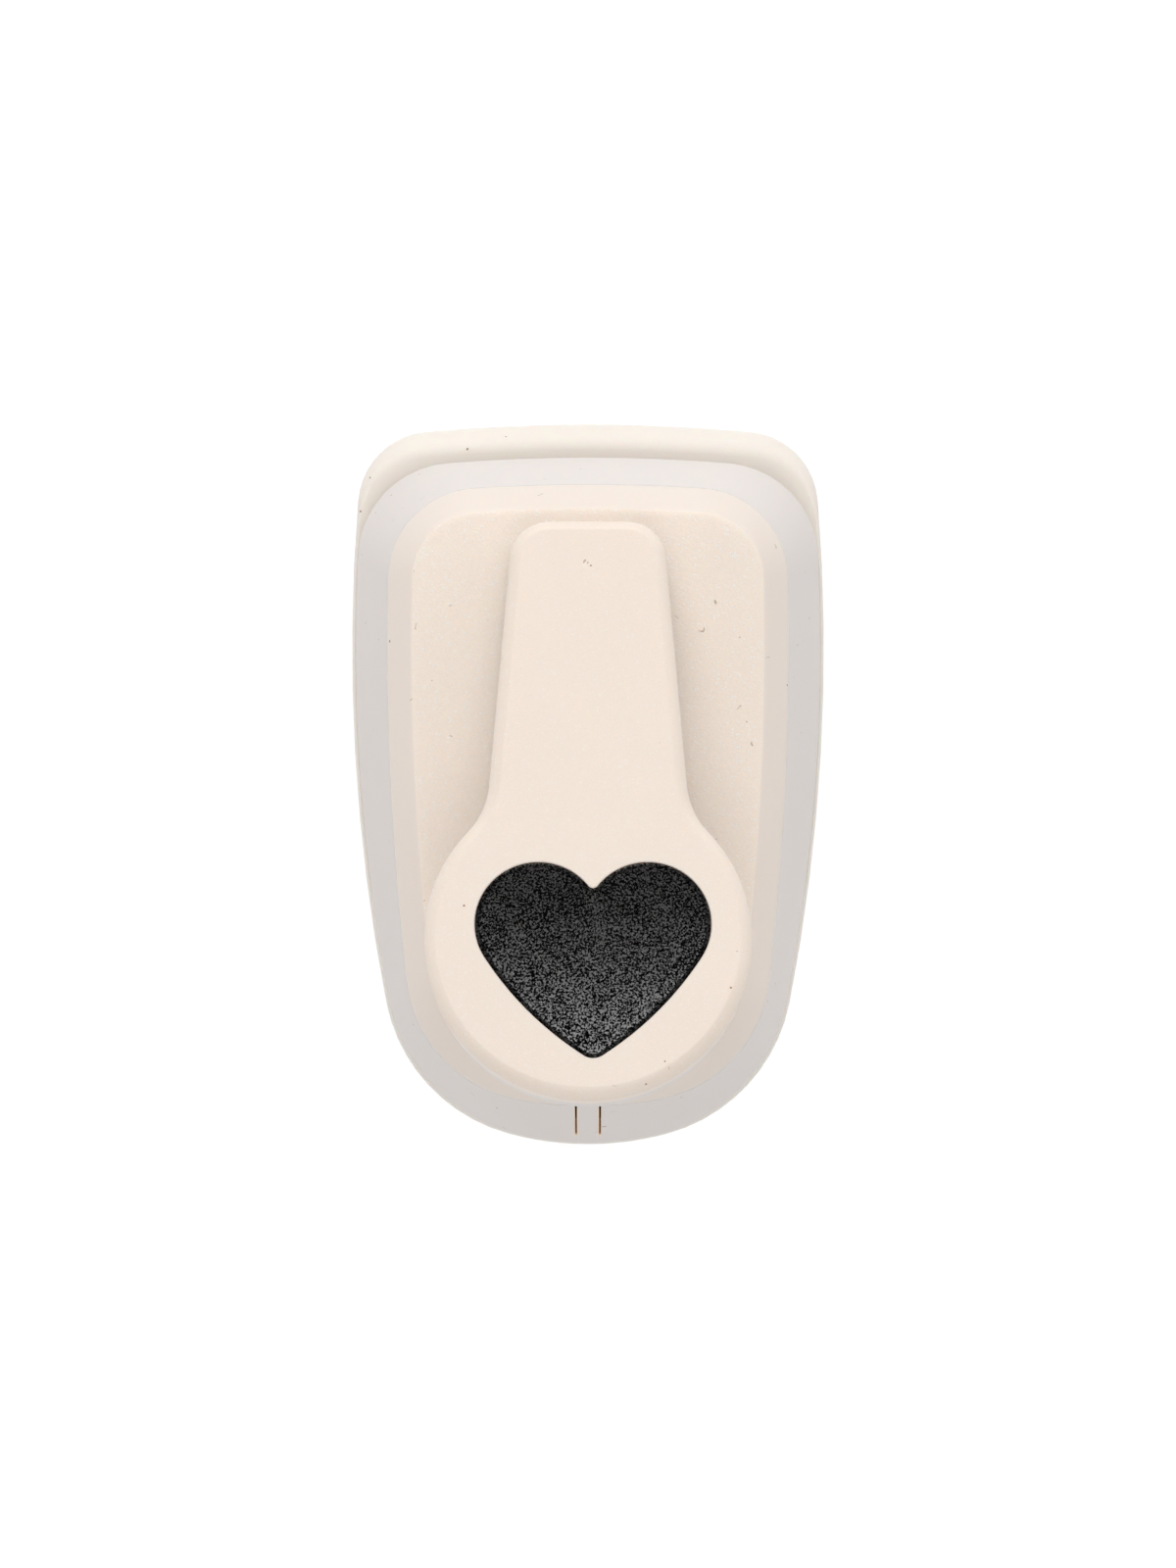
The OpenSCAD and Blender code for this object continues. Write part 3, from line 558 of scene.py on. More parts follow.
class Group(Nodes):
    """A node group with named inputs and outputs."""

    def __init__(self, name: str, kind: str, inputs: dict[str, object],
                 outputs: dict[str, str]) -> None:
        """Makes the group and its sockets.

        Args:
            name: Name of the group.
            kind: Blender's name of the kind of tree.
            inputs: Start value by name, or kind of socket where there is none.
            outputs: Kind of socket by name.
        """
        super().__init__(bpy.data.node_groups.new(name, kind))
        for way, sockets in (("INPUT", inputs), ("OUTPUT", outputs)):
            for key, value in sockets.items():
                bare = isinstance(value, str)
                socket = self.tree.interface.new_socket(
                    key, in_out=way,
                    socket_type="NodeSocket" + (value if bare else KINDS[type(value)]))
                if not bare:
                    socket.default_value = (*value, 1.0) if type(value) is tuple else value
        self.start = self.node("NodeGroupInput").outputs


class Effect(Enum):
    """The shared shader effects, by the names of their groups."""

    GRAIN = "moulded_grain"
    PEAKS = "eroded_peaks"
    LINES = "ground_lines"
    SPECKS = "stray_specks"

    def group(self, values: dict[str, object], *outputs: str) -> Group:
        """Starts the effect's group, which knows a place and a colour."""
        kinds = {key: "Color" if key == "Colour" else "Float" for key in outputs}
        return Group(self.value, "ShaderNodeTree",
                     {"Vector": "Vector", "Colour": (0.8, 0.8, 0.8), **values}, kinds)


# Grain: how a painted glint fades, clouds in a metre, how far the grain's depth darkens the
# colour, and the grain's roughness
PAINTED_GLINT_FADE, CLOUD_SCALE, GRAIN_SHADE, GRAIN_ROUGHNESS = 1.7, 70.0, 0.16, 0.3


def grain_effect() -> Group:
    """Electrical-discharge grain of a mould: a fine bump, with painted glints, facets mixed white
    into the colour.

    Returns:
        The group.
    """
    n = Effect.GRAIN.group({
        "Roughness": 0.5, "Grain Scale": 5000.0, "Grain Depth": 0.5, "Spark Scale": 4000.0,
        "Spark": 0.2, "Spark Share": 0.15, "Cloud": 0.03}, "Colour", "Roughness", "Height")
    vector, share, depth = (n.start[key] for key in ("Vector", "Spark Share", "Grain Depth"))
    grain = n.noise(vector, n.start["Grain Scale"], detail=3.0, roughness=0.6)[0]
    middle = n.sub(grain, 0.5)
    distance, lots = n.cells(vector, n.start["Spark Scale"])
    # Painted glints: a share of the cells is mixed towards white in the colour, fading from each
    # middle, and raised in the bump
    over = n.math("DIVIDE", n.sub(lots[0], n.sub(1.0, share)), share, clamp=True)
    near = n.sub(1.0, n.mul(distance, PAINTED_GLINT_FADE), clamp=True)
    spark = n.mul(n.mul(over, near), n.start["Spark"])
    swing = n.mul(n.sub(n.noise(vector, CLOUD_SCALE)[0], 0.5), n.start["Cloud"])
    level = n.add(n.add(swing, n.mul(middle, n.mul(depth, GRAIN_SHADE))), 1.0)
    n.node("NodeGroupOutput", {
        "Colour": n.mix(spark, n.scaled(n.start["Colour"], level), WHITE),
        "Roughness": n.add(n.start["Roughness"], n.mul(middle, GRAIN_ROUGHNESS), clamp=True),
        "Height": n.add(n.mul(grain, depth), spark)})
    return n


def peak_effect() -> Group:
    """Coarse electrical-discharge grain of black plastic: dull hollows, and peaks whose colour is
    painted lighter as glints.

    Returns:
        The group.
    """
    n = Effect.PEAKS.group({
        "Peak Colour": (0.8, 0.8, 0.8), "Peak Scale": 5000.0, "Swing Scale": 420.0,
        "Swing": 0.16, "Foot": 0.43, "Top": 0.66}, "Colour", "Height")
    broad = n.sub(n.noise(n.start["Vector"], n.start["Swing Scale"])[0], 0.5)
    fine = n.noise(n.start["Vector"], n.start["Peak Scale"], detail=1.0)[0]
    peak = n.out("ShaderNodeMapRange", {
        0: n.add(fine, n.mul(broad, n.start["Swing"])), 1: n.start["Foot"],
        2: n.start["Top"]}, interpolation_type="SMOOTHSTEP")
    n.node("NodeGroupOutput", {
        "Colour": n.mix(peak, n.start["Colour"], n.start["Peak Colour"]), "Height": peak})
    return n


# Lines and marks: their number in a metre, and how far they shade the metal
LINE_SCALE, MARK_SCALE = (9000.0, 260.0, 9000.0), 240.0
LINE_SHADE, MARK_SHADE, MIDDLE_SHADE, LINE_ROUGHNESS = 0.22, 0.18, 0.2, 0.8


def line_effect() -> Group:
    """Grinding lines and handling marks of worked metal.

    Returns:
        The group.
    """
    n = Effect.LINES.group({"Roughness": 0.3, "Depth": 0.5}, "Colour", "Roughness", "Height")
    vector = n.start["Vector"]
    along = n.out("ShaderNodeVectorMath", {0: vector, 1: LINE_SCALE}, operation="MULTIPLY")
    lines = n.noise(along, 1.0, detail=4.0)[0]
    marks = n.noise(vector, MARK_SCALE, detail=3.0)[0]
    change = n.add(n.mul(lines, LINE_SHADE), n.mul(marks, MARK_SHADE))
    rougher = n.mul(n.sub(change, MIDDLE_SHADE), LINE_ROUGHNESS)
    n.node("NodeGroupOutput", {
        "Colour": n.scaled(n.start["Colour"], n.add(change, 1.0 - MIDDLE_SHADE)),
        "Roughness": n.add(n.start["Roughness"], rougher, clamp=True),
        "Height": n.mul(lines, n.start["Depth"])})
    return n


# Specks: cells in a metre, share of cells without one, and their ragged edge
SPECK_CELLS, SPECK_NONE, RAG_SCALE, RAG = 450.0, 0.5, 1800.0, 0.00016
# Fibres: cells in a metre, share without one, reach, waves, width, and strength
FIBRE_CELLS, FIBRE_NONE, FIBRE_REACH = 300.0, 0.35, 0.11
FIBRE_WAVES, FIBRE_WIDTH, FIBRE_AMOUNT = 650.0, 0.014, 0.6


def speck_effect() -> Group:
    """Stray brown specks and short fibres, as lie on a moulding from the workshop.

    Returns:
        The group.
    """
    n = Effect.SPECKS.group({"Speck Colour": (0.8, 0.8, 0.8), "Amount": 1.0,
                             "Speck Size": 0.06}, "Colour", "Mask")
    vector, amount = n.start["Vector"], n.start["Amount"]
    shift = n.scaled(n.noise(vector, RAG_SCALE)[1], RAG)
    place = n.out("ShaderNodeVectorMath", {0: vector, 1: shift}, operation="ADD")
    distance, lots = n.cells(place, SPECK_CELLS)
    inside = n.math("LESS_THAN", distance, n.mul(lots[2], n.start["Speck Size"]))
    drawn = n.math("GREATER_THAN", lots[1], SPECK_NONE)
    speck = n.mul(n.mul(drawn, inside), amount, clamp=True)
    distance, lots = n.cells(vector, FIBRE_CELLS)
    held = n.mul(n.math("GREATER_THAN", lots[0], FIBRE_NONE),
                 n.math("LESS_THAN", distance, FIBRE_REACH))
    wave = n.math("ABSOLUTE", n.sub(n.noise(vector, FIBRE_WAVES, detail=0.0)[0], 0.5))
    line = n.mul(held, n.math("LESS_THAN", wave, FIBRE_WIDTH))
    fibre = n.mul(line, n.mul(amount, FIBRE_AMOUNT), clamp=True)
    mask = n.math("MAXIMUM", speck, fibre)
    n.node("NodeGroupOutput", {
        "Colour": n.mix(mask, n.start["Colour"], n.start["Speck Colour"]), "Mask": mask})
    return n


# Finishes


@dataclass(frozen=True)
class Finish:
    """A finish: a shared effect, stray specks over it, and its relief.

    A field sets the effect's input of the same name. The maps name what goes
    into the shader's inputs: outputs of the effect, and fields.
    """

    name: str
    slot: Slot
    colour: Colour
    roughness: float = 0.5
    bump: float = 0.12
    relief: float = 0.0002
    specks: float = 1.0
    speck_colour: Colour = srgb(160, 128, 100)
    effect: ClassVar[Effect] = Effect.GRAIN
    from_effect: ClassVar[dict[str, str]] = {"Roughness": "Roughness"}
    from_field: ClassVar[dict[str, str]] = {}

    def build(self, effects: dict[Effect, Group]) -> bpy.types.Material:
        """Makes the material.

        Args:
            effects: The shared effects.

        Returns:
            The material, on object coordinates.
        """
        material = bpy.data.materials.new(self.name)
        material.use_nodes = True
        nodes = Nodes(material.node_tree)
        shader = next(n for n in material.node_tree.nodes if n.type == "BSDF_PRINCIPLED")
        place = nodes.node("ShaderNodeTexCoord").outputs["Object"]
        own = nodes.node("ShaderNodeGroup", {"Vector": place},
                         node_tree=effects[self.effect].tree)
        nodes.join({key: getattr(self, key.lower().replace(" ", "_"))
                    for key in own.inputs.keys() if key != "Vector"}, own)
        dusty = nodes.out("ShaderNodeGroup", {
            "Vector": place, "Colour": own.outputs["Colour"], "Amount": self.specks,
            "Speck Colour": self.speck_colour}, node_tree=effects[Effect.SPECKS].tree)
        bump = nodes.out("ShaderNodeBump", {
            "Strength": self.bump, "Distance": self.relief, "Height": own.outputs["Height"]})
        nodes.join({"Base Color": dusty, "Normal": bump,
                    **{key: own.outputs[name] for key, name in self.from_effect.items()},
                    **{key: getattr(self, name) for key, name in self.from_field.items()}},
                   shader)
        return material


@dataclass(frozen=True)
class Plastic(Finish):
    """A moulded plastic finish, faintly translucent, and with a painted glow where lit is set."""

    grain_scale: float = 5200.0
    grain_depth: float = 0.5
    # Painted glints: how strongly white dots are mixed into the colour, their cells in a metre,
    # and the share of cells that have one
    spark: float = 0.0
    painted_glint_scale: float = 4200.0
    painted_glint_share: float = 0.15
    cloud: float = 0.03
    ior: float = 1.49
    glow: float = 0.15
    glow_tint: Colour = (1.0, 0.55, 0.32)
    glow_depth: float = 0.0014
    # lit: how strongly the finish's own colour glows by emission, a painted glow
    lit: float = 0.0
    from_field: ClassVar[dict[str, str]] = {
        "IOR": "ior", "Subsurface Weight": "glow", "Subsurface Radius": "glow_tint",
        "Subsurface Scale": "glow_depth", "Emission Color": "colour",
        "Emission Strength": "lit"}


@dataclass(frozen=True)
class ErodedBlack(Finish):
    """Black plastic whose peaks alone shine, by the coat and by painted glints in their colour.
    """

    roughness: float = 0.9
    bump: float = 0.3
    relief: float = 0.00004
    specks: float = 0.3
    speck_colour: Colour = srgb(120, 104, 92)
    # Painted glint: the lighter colour of the peaks
    painted_peak_glint: Colour = srgb(36, 35, 34)
    peak_scale: float = 5000.0
    swing_scale: float = 420.0
    swing: float = 0.16
    foot: float = 0.43
    top: float = 0.66
    shine: float = 0.0
    gloss: float = 0.12
    effect: ClassVar[Effect] = Effect.PEAKS
    from_effect: ClassVar[dict[str, str]] = {"Coat Weight": "Height"}
    from_field: ClassVar[dict[str, str]] = {
        "Roughness": "roughness", "Specular IOR Level": "shine", "Coat Roughness": "gloss"}


@dataclass(frozen=True)
class Metal(Finish):
    """A worked metal finish."""

    roughness: float = 0.3
    bump: float = 0.1
    relief: float = 0.0001
    specks: float = 0.5
    speck_colour: Colour = srgb(70, 62, 56)
    depth: float = 0.5
    metallic: float = 1.0
    effect: ClassVar[Effect] = Effect.LINES
    from_field: ClassVar[dict[str, str]] = {"Metallic": "metallic"}


class Look(Enum):
    """Every finish of the punch."""

    CREAM_BASE = Plastic("cream_base", Slot.CREAM, srgb(247, 239, 230), bump=0.05,
                         grain_depth=0.3, glow=0.3)
    CREAM_BEVEL = Plastic("cream_bevel", Slot.CREAM, srgb(243, 231, 221), 0.36, 0.04,
                          grain_depth=0.25)
    # The cover's top: a lighter copy of the cream on its bevel, painted light, with painted
    # glints over its grain
    CREAM_GRAIN = Plastic("cream_grain", Slot.CREAM, srgb(252, 238, 225), 0.5, 0.3,
                          grain_depth=0.9, spark=1.4, painted_glint_share=0.25, cloud=0.05)
    # The lever cap's cream, with painted glints mixed into its colour
    CREAM_PAD = Plastic("cream_pad", Slot.CREAM, srgb(245, 231, 218), 0.4, 0.14,
                        grain_depth=0.6, spark=0.5, cloud=0.05)
    GREY = Plastic("grey_shell", Slot.GREY, srgb(234, 227, 223), bump=0.05, grain_depth=0.3)
    # Slit lips: peach, glowing a little in their own colour: a painted highlight
    SLIT_LIP = Plastic("slit_lip", Slot.GREY, srgb(252, 222, 192), lit=0.1)
    # Slit insides and their strips: brown painted shade of the deep slits
    SLIT_WALL = Plastic("slit_wall", Slot.GREY, srgb(150, 108, 78), 0.6)
    BLACK = ErodedBlack("black_inlay", Slot.BLACK, srgb(6, 6, 6))
    STEEL = Metal("ground_steel", Slot.STEEL, srgb(196, 196, 194))
    ZINC = Metal("zinc_casting", Slot.ZINC, srgb(176, 178, 180), 0.46, depth=0.3)
    WIRE = Metal("spring_wire", Slot.WIRE, srgb(160, 160, 158), 0.26)
    DARK = Metal("blackened_steel", Slot.DARK, srgb(66, 66, 68), 0.38, depth=0.2)


# Repeated pieces, made by Geometry Nodes


# Bends: how a spring's pitch narrows at its ends, and a pan head's width going up
END_TURNS = ((0.0, 0.0), (0.16, 0.075), (0.84, 0.925), (1.0, 1.0))
DOME = ((0.0, 0.97), (0.08, 1.0), (0.5, 0.99), (0.8, 0.88), (1.0, 0.62))
# A screw's core, thread and cross in shares of shank, pitch, head width and height
CORE, RIDGE, ARM, WEB, RECESS = 0.43, 0.4, 0.56, 0.15, 1.1
CORE_SIDES, THREAD_STEPS, THREAD_SIDES, HEAD_SIDES, DOME_STEPS = 24, 20, 4, 48, 14


class Recipe(Group):
    """A Geometry Nodes tree that puts a shape on each of its points."""

    def __init__(self, name: str, sizes: dict[str, object]) -> None:
        """Makes the tree, with an input for each size."""
        super().__init__(name, "GeometryNodeTree", {
            "Geometry": "Geometry", **sizes, "Material": "Material"}, {"Geometry": "Geometry"})

    def vector(self, x: object = 0.0, y: object = 0.0, z: object = 0.0) -> Socket:
        """A vector from its three values."""
        return self.out("ShaderNodeCombineXYZ", {0: x, 1: y, 2: z})

    def raised(self, shape: Socket, rise: object) -> Socket:
        """A shape moved up."""
        return self.out("GeometryNodeTransform", {0: shape, "Translation": self.vector(z=rise)})

    def spiral(self, steps: object, turns: object, radius: Socket, height: object) -> Socket:
        """A spiral of even width."""
        return self.out("GeometryNodeCurveSpiral", {
            "Resolution": steps, "Rotations": turns, "Start Radius": radius,
            "End Radius": radius, "Height": height})

    def tube(self, path: Socket, sides: object, radius: object, scale: object = 1.0) -> Socket:
        """A closed tube along a path.

        Args:
            path: The path.
            sides: Number of the tube's sides.
            radius: Its radius.
            scale: What the radius is multiplied by along the path.

        Returns:
            The tube.
        """
        ring = self.out("GeometryNodeCurvePrimitiveCircle", {"Resolution": sides,
                                                             "Radius": radius})
        return self.out("GeometryNodeCurveToMesh", {
            "Curve": path, "Profile Curve": ring, "Scale": scale, "Fill Caps": True})

    def bent(self, value: Socket, curve: Sequence[Point]) -> Socket:
        """A value bent by a curve.

        Args:
            value: The value, from 0 to 1.
            curve: The curve's points.

        Returns:
            The bent value.
        """
        node = self.node("ShaderNodeFloatCurve", {"Value": value})
        points = node.mapping.curves[0].points
        points[0].location, points[1].location = curve[0], curve[-1]
        for x, y in curve[1:-1]:
            points.new(x, y)
        node.mapping.update()
        return node.outputs[0]

    def finish(self, shape: Socket, tilt: object = None, spin: object = None) -> None:
        """Puts the shape on the points and ends the tree.

        Args:
            shape: The shape.
            tilt: How the shape is tilted, or none.
            spin: How far it is turned about its own axis after that, or none.
        """
        how = {} if tilt is None else {"Rotation": tilt}
        shapes = self.out("GeometryNodeInstanceOnPoints", {
            "Points": self.start["Geometry"], "Instance": shape, **how})
        if spin is not None:
            shapes = self.out("GeometryNodeRotateInstances", {0: shapes, "Rotation": spin})
        for kind in ("RealizeInstances", "SetShadeSmooth"):
            shapes = self.out("GeometryNode" + kind, {0: shapes})
        painted = self.out("GeometryNodeSetMaterial", {"Geometry": shapes,
                                                       "Material": self.start["Material"]})
        self.node("NodeGroupOutput", {0: painted})

    def make(self, name: str, spots: Sequence[Vector], values: dict[str, object]) -> Piece:
        """Runs the tree on a set of points.

        Args:
            name: Name of the new piece.
            spots: Where the repeats stand, in millimetres.
            values: The inputs by name.

        Returns:
            The finished piece as a plain mesh.
        """
        mesh = bpy.data.meshes.new(name)
        mesh.from_pydata([tuple(spot * MM) for spot in spots], [], [])
        obj = add_object(mesh)
        modifier = obj.modifiers.new(self.tree.name, "NODES")
        modifier.node_group = self.tree
        for item in self.tree.interface.items_tree:
            if item.in_out == "INPUT" and item.name in values:
                modifier[item.identifier] = values[item.name]
        bake(obj)
        obj.data.set_sharp_from_angle(angle=math.radians(CREASE))
        return obj


def coil_recipe() -> Recipe:
    """A compression spring on each point, its end turns lying close.

    Returns:
        The recipe.
    """
    n = Recipe("coil_spring", {"Coil Radius": 0.002, "Wire Radius": 0.0004, "Turns": 5.0,
                               "Height": 0.008, "Steps": 40, "Wire Sides": 12})
    spiral = n.spiral(n.start["Steps"], n.start["Turns"], n.start["Coil Radius"], 1.0)
    where = n.out("GeometryNodeInputPosition")
    x, y, z = n.node("ShaderNodeSeparateXYZ", {0: where}).outputs[:3]
    rise = n.bent(z, END_TURNS)
    path = n.out("GeometryNodeSetPosition", {
        "Geometry": spiral, "Position": n.vector(x, y, n.mul(rise, n.start["Height"]))})
    n.finish(n.tube(path, n.start["Wire Sides"], n.start["Wire Radius"]))
    return n


def screw_recipe(head: Head) -> Recipe:
    """A machine screw with a cross recess and a thread on each point.

    The seat of a pan head, or the face of a sunk head, is at the point. The
    shank runs down from a pan head and up from a sunk one.

    Args:
        head: Shape of the head.

    Returns:
        The recipe.
    """
    n = Recipe(head.name.lower() + "_screw", {
        "Shank": 0.003, "Head": 0.0054, "Head Height": 0.0018, "Length": 0.01,
        "Pitch": 0.0005, "Tilt": "Rotation", "Seed": 3})
    sunk = head is Head.SUNK
    shank, width, rise, length, pitch = n.start[1:6]
    core = n.out("GeometryNodeMeshCylinder", {
        "Vertices": CORE_SIDES, "Radius": n.mul(shank, CORE), "Depth": length})
    core = n.raised(core, n.mul(n.mul(length, 0.5), 1.0 if sunk else -1.0))
    run, ridge, half = n.sub(length, rise), n.mul(pitch, RIDGE), n.mul(pitch, 0.5)
    thread = n.spiral(THREAD_STEPS, n.math("DIVIDE", run, pitch),
                      n.sub(n.mul(shank, 0.5), ridge), run)
    thread = n.raised(n.tube(thread, THREAD_SIDES, ridge),
                      n.sub(rise, half) if sunk else n.mul(n.add(run, half), -1.0))
    top = sunk_head(n, shank, width, rise) if sunk else pan_head(n, width, rise)
    top = n.node("GeometryNodeMeshBoolean", {"Mesh 1": top}, operation="DIFFERENCE",
                 solver="EXACT")
    arm, web, depth = n.mul(width, ARM), n.mul(width, WEB), n.mul(rise, RECESS)
    for x, y in ((arm, web), (web, arm)):
        bar = n.out("GeometryNodeMeshCube", {"Size": n.vector(x, y, depth)})
        n.join({"Mesh 2": n.raised(bar, 0.0 if sunk else rise)}, top)
    joined = n.node("GeometryNodeJoinGeometry")
    for shape in (top.outputs[0], core, thread):
        n.join({0: shape}, joined)
    turn = n.node("FunctionNodeRandomValue", {"Seed": n.start["Seed"], 3: math.tau / 4},
                  data_type="FLOAT").outputs[1]
    n.finish(joined.outputs[0], n.start["Tilt"], n.vector(z=turn))
    return n


def sunk_head(n: Recipe, shank: Socket, width: Socket, rise: Socket) -> Socket:
    """Adds the cone of a countersunk head, its face at zero."""
    return n.out("GeometryNodeMeshCone", {
        "Vertices": HEAD_SIDES, "Radius Top": n.mul(shank, 0.5),
        "Radius Bottom": n.mul(width, 0.5), "Depth": rise})


def pan_head(n: Recipe, width: Socket, rise: Socket) -> Socket:
    """Adds a domed head, turned about its axis, with its seat at zero.

    Args:
        n: The screw's recipe.
        width: Width of the head.
        rise: Height of the head.

    Returns:
        The head.
    """
    line = n.out("GeometryNodeCurvePrimitiveLine", {"End": n.vector(z=rise)})
    points = n.out("GeometryNodeResampleCurve", {"Curve": line, "Count": DOME_STEPS})
    dome = n.bent(n.out("GeometryNodeSplineParameter"), DOME)
    return n.tube(points, HEAD_SIDES, 1.0, n.mul(dome, n.mul(width, 0.5)))


# Sub-assemblies


class Workshop:
    """What the sub-assemblies share: the materials and the recipes."""

    def __init__(self) -> None:
        """Makes the materials and the recipes."""
        effects = {Effect.GRAIN: grain_effect(), Effect.PEAKS: peak_effect(),
                   Effect.LINES: line_effect(), Effect.SPECKS: speck_effect()}
        self.paint = {look: look.value.build(effects) for look in Look}
        self.coil = coil_recipe()
        self.screw = {head: screw_recipe(head) for head in Head}

    def dress(self, obj: Piece, look: Look, body: Body, node: str) -> None:
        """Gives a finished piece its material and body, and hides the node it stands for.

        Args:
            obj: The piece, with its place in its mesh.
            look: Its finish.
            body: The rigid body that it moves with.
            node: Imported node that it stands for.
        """
        obj.data.materials.clear()
        obj.data.materials.append(self.paint[look])
        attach(obj, body.value)
        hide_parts(node)
        LOG.info("%s rides on %s, %d faces", obj.name, body.value, len(obj.data.polygons))

    def trim(self, obj: Piece, looks: Sequence[Look],
             part: Callable[[bpy.types.MeshPolygon], int]) -> None:
        """Gives some faces of a dressed piece other finishes.

        Args:
            obj: The piece.
            looks: The other finishes.
            part: Number of a face's finish, 0 for the piece's first one.
        """
        for look in looks:
            obj.data.materials.append(self.paint[look])
        for face in obj.data.polygons:
            face.material_index = part(face)


@dataclass(frozen=True)
class Plain:
    """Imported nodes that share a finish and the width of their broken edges."""

    nodes: tuple[str, ...]
    look: Look
    edge: float
    body: Body = Body.FRAME

    def build(self, shop: Workshop) -> None:
        """Makes each node's fine copy and dresses it."""
        for node in self.nodes:
            shop.dress(fine_copy(node, self.edge), self.look, self.body, node)


@dataclass(frozen=True)
class ScrewSet:
    """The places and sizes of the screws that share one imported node."""

    node: str
    head: Head
    shank: float
    length: float
    spots: tuple[Spot, ...]
    seed: int
    tilt: float = 0.0
    body: Body = Body.FRAME
    pitch: float = 0.17

    def build(self, shop: Workshop) -> None:
        """Makes the screws and dresses them.

        Args:
            shop: The materials and recipes.
        """
        width, rise = self.head.value[self.shank]
        sizes = {"Shank": self.shank, "Head": width, "Head Height": rise,
                 "Length": self.length, "Pitch": self.shank * self.pitch}
        obj = shop.screw[self.head].make(self.node + "_turned", [Vector(s) for s in self.spots], {
            **{key: size * MM for key, size in sizes.items()}, "Seed": self.seed,
            "Tilt": (math.radians(self.tilt), 0.0, 0.0), "Material": shop.paint[Look.DARK]})
        shop.dress(obj, Look.DARK, self.body, self.node)


@dataclass(frozen=True)
class Spring:
    """A return spring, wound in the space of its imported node."""

    node: str
    wire_d: float = 0.7
    turns: float = 4.5
    foot: float = 0.015
    keep: float = 0.4917

    def build(self, shop: Workshop) -> None:
        """Winds the spring and dresses it.

        Args:
            shop: The materials and recipes.
        """
        low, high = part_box(self.node)
        middle = (low + high) / 2
        wire = self.wire_d * MM
        start = Vector((middle.x, middle.y, low.z + wire / 2)) / MM
        obj = shop.coil.make(self.node + "_coil", [start], {
            "Coil Radius": (high.x - low.x - wire) / 2, "Wire Radius": wire / 2,
            "Turns": self.turns, "Height": high.z - low.z - wire,
            "Material": shop.paint[Look.WIRE]})
        shop.dress(obj, Look.WIRE, Body.FRAME, self.node)
        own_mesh(obj)


@dataclass(frozen=True)
class SubAssembly:
    """Pieces that are put together before they go into the punch."""

    stock: tuple[Plain | ScrewSet | Spring, ...] = ()

    def build(self, shop: Workshop) -> None:
        """Builds and dresses the pieces in stock."""
        for item in self.stock:
            item.build(shop)


@dataclass(frozen=True)
class BaseAssembly(SubAssembly):
    """Cream base with its paper table and the plate that closes it."""

    stock: tuple[Plain | ScrewSet, ...] = (
        Plain(("base_shell",), Look.CREAM_BASE, 0.15),
        Plain(("bottom_plate",), Look.CREAM_BASE, 0.2),
        ScrewSet("base_screws_front", Head.SUNK, 3.0, 9.7,
                 ((15.5, 22.1, 0.1), (-15.5, 22.1, 0.1)), seed=4),
        ScrewSet("base_screws_rear", Head.SUNK, 3.0, 18.0,
                 ((9.0, -27.55, 0.1), (-9.0, -27.55, 0.1)), seed=9))


@dataclass(frozen=True)
class CuttingFrame(SubAssembly):
    """Die plate, spacer, guide block, posts and springs."""

    stock: tuple[Plain | ScrewSet | Spring, ...] = (
        Plain(("die_plate", "throat_spacer", "guide_posts"), Look.STEEL, 0.12),
        Plain(("guide_block",), Look.ZINC, 0.2),
        Plain(("post_clips",), Look.DARK, 0.05),
        ScrewSet("frame_screws", Head.PAN, 3.0, 11.4,
                 ((9.0, -16.2, 18.8), (-9.0, -16.2, 18.8)), seed=2),
        Spring("return_spring_left"),
        Spring("return_spring_right"))


@dataclass(frozen=True)
class RamAssembly(SubAssembly):
    """Heart-shaped ram on its crosshead."""

    stock: tuple[Plain | ScrewSet, ...] = (
        Plain(("punch_ram",), Look.STEEL, 0.05, Body.RAM),
        Plain(("crosshead",), Look.ZINC, 0.15, Body.RAM),
        ScrewSet("ram_screws", Head.PAN, 2.0, 6.0, ((0.0, 7.2, 25.586), (0.0, 1.8, 25.586)),
                 seed=6, body=Body.RAM))


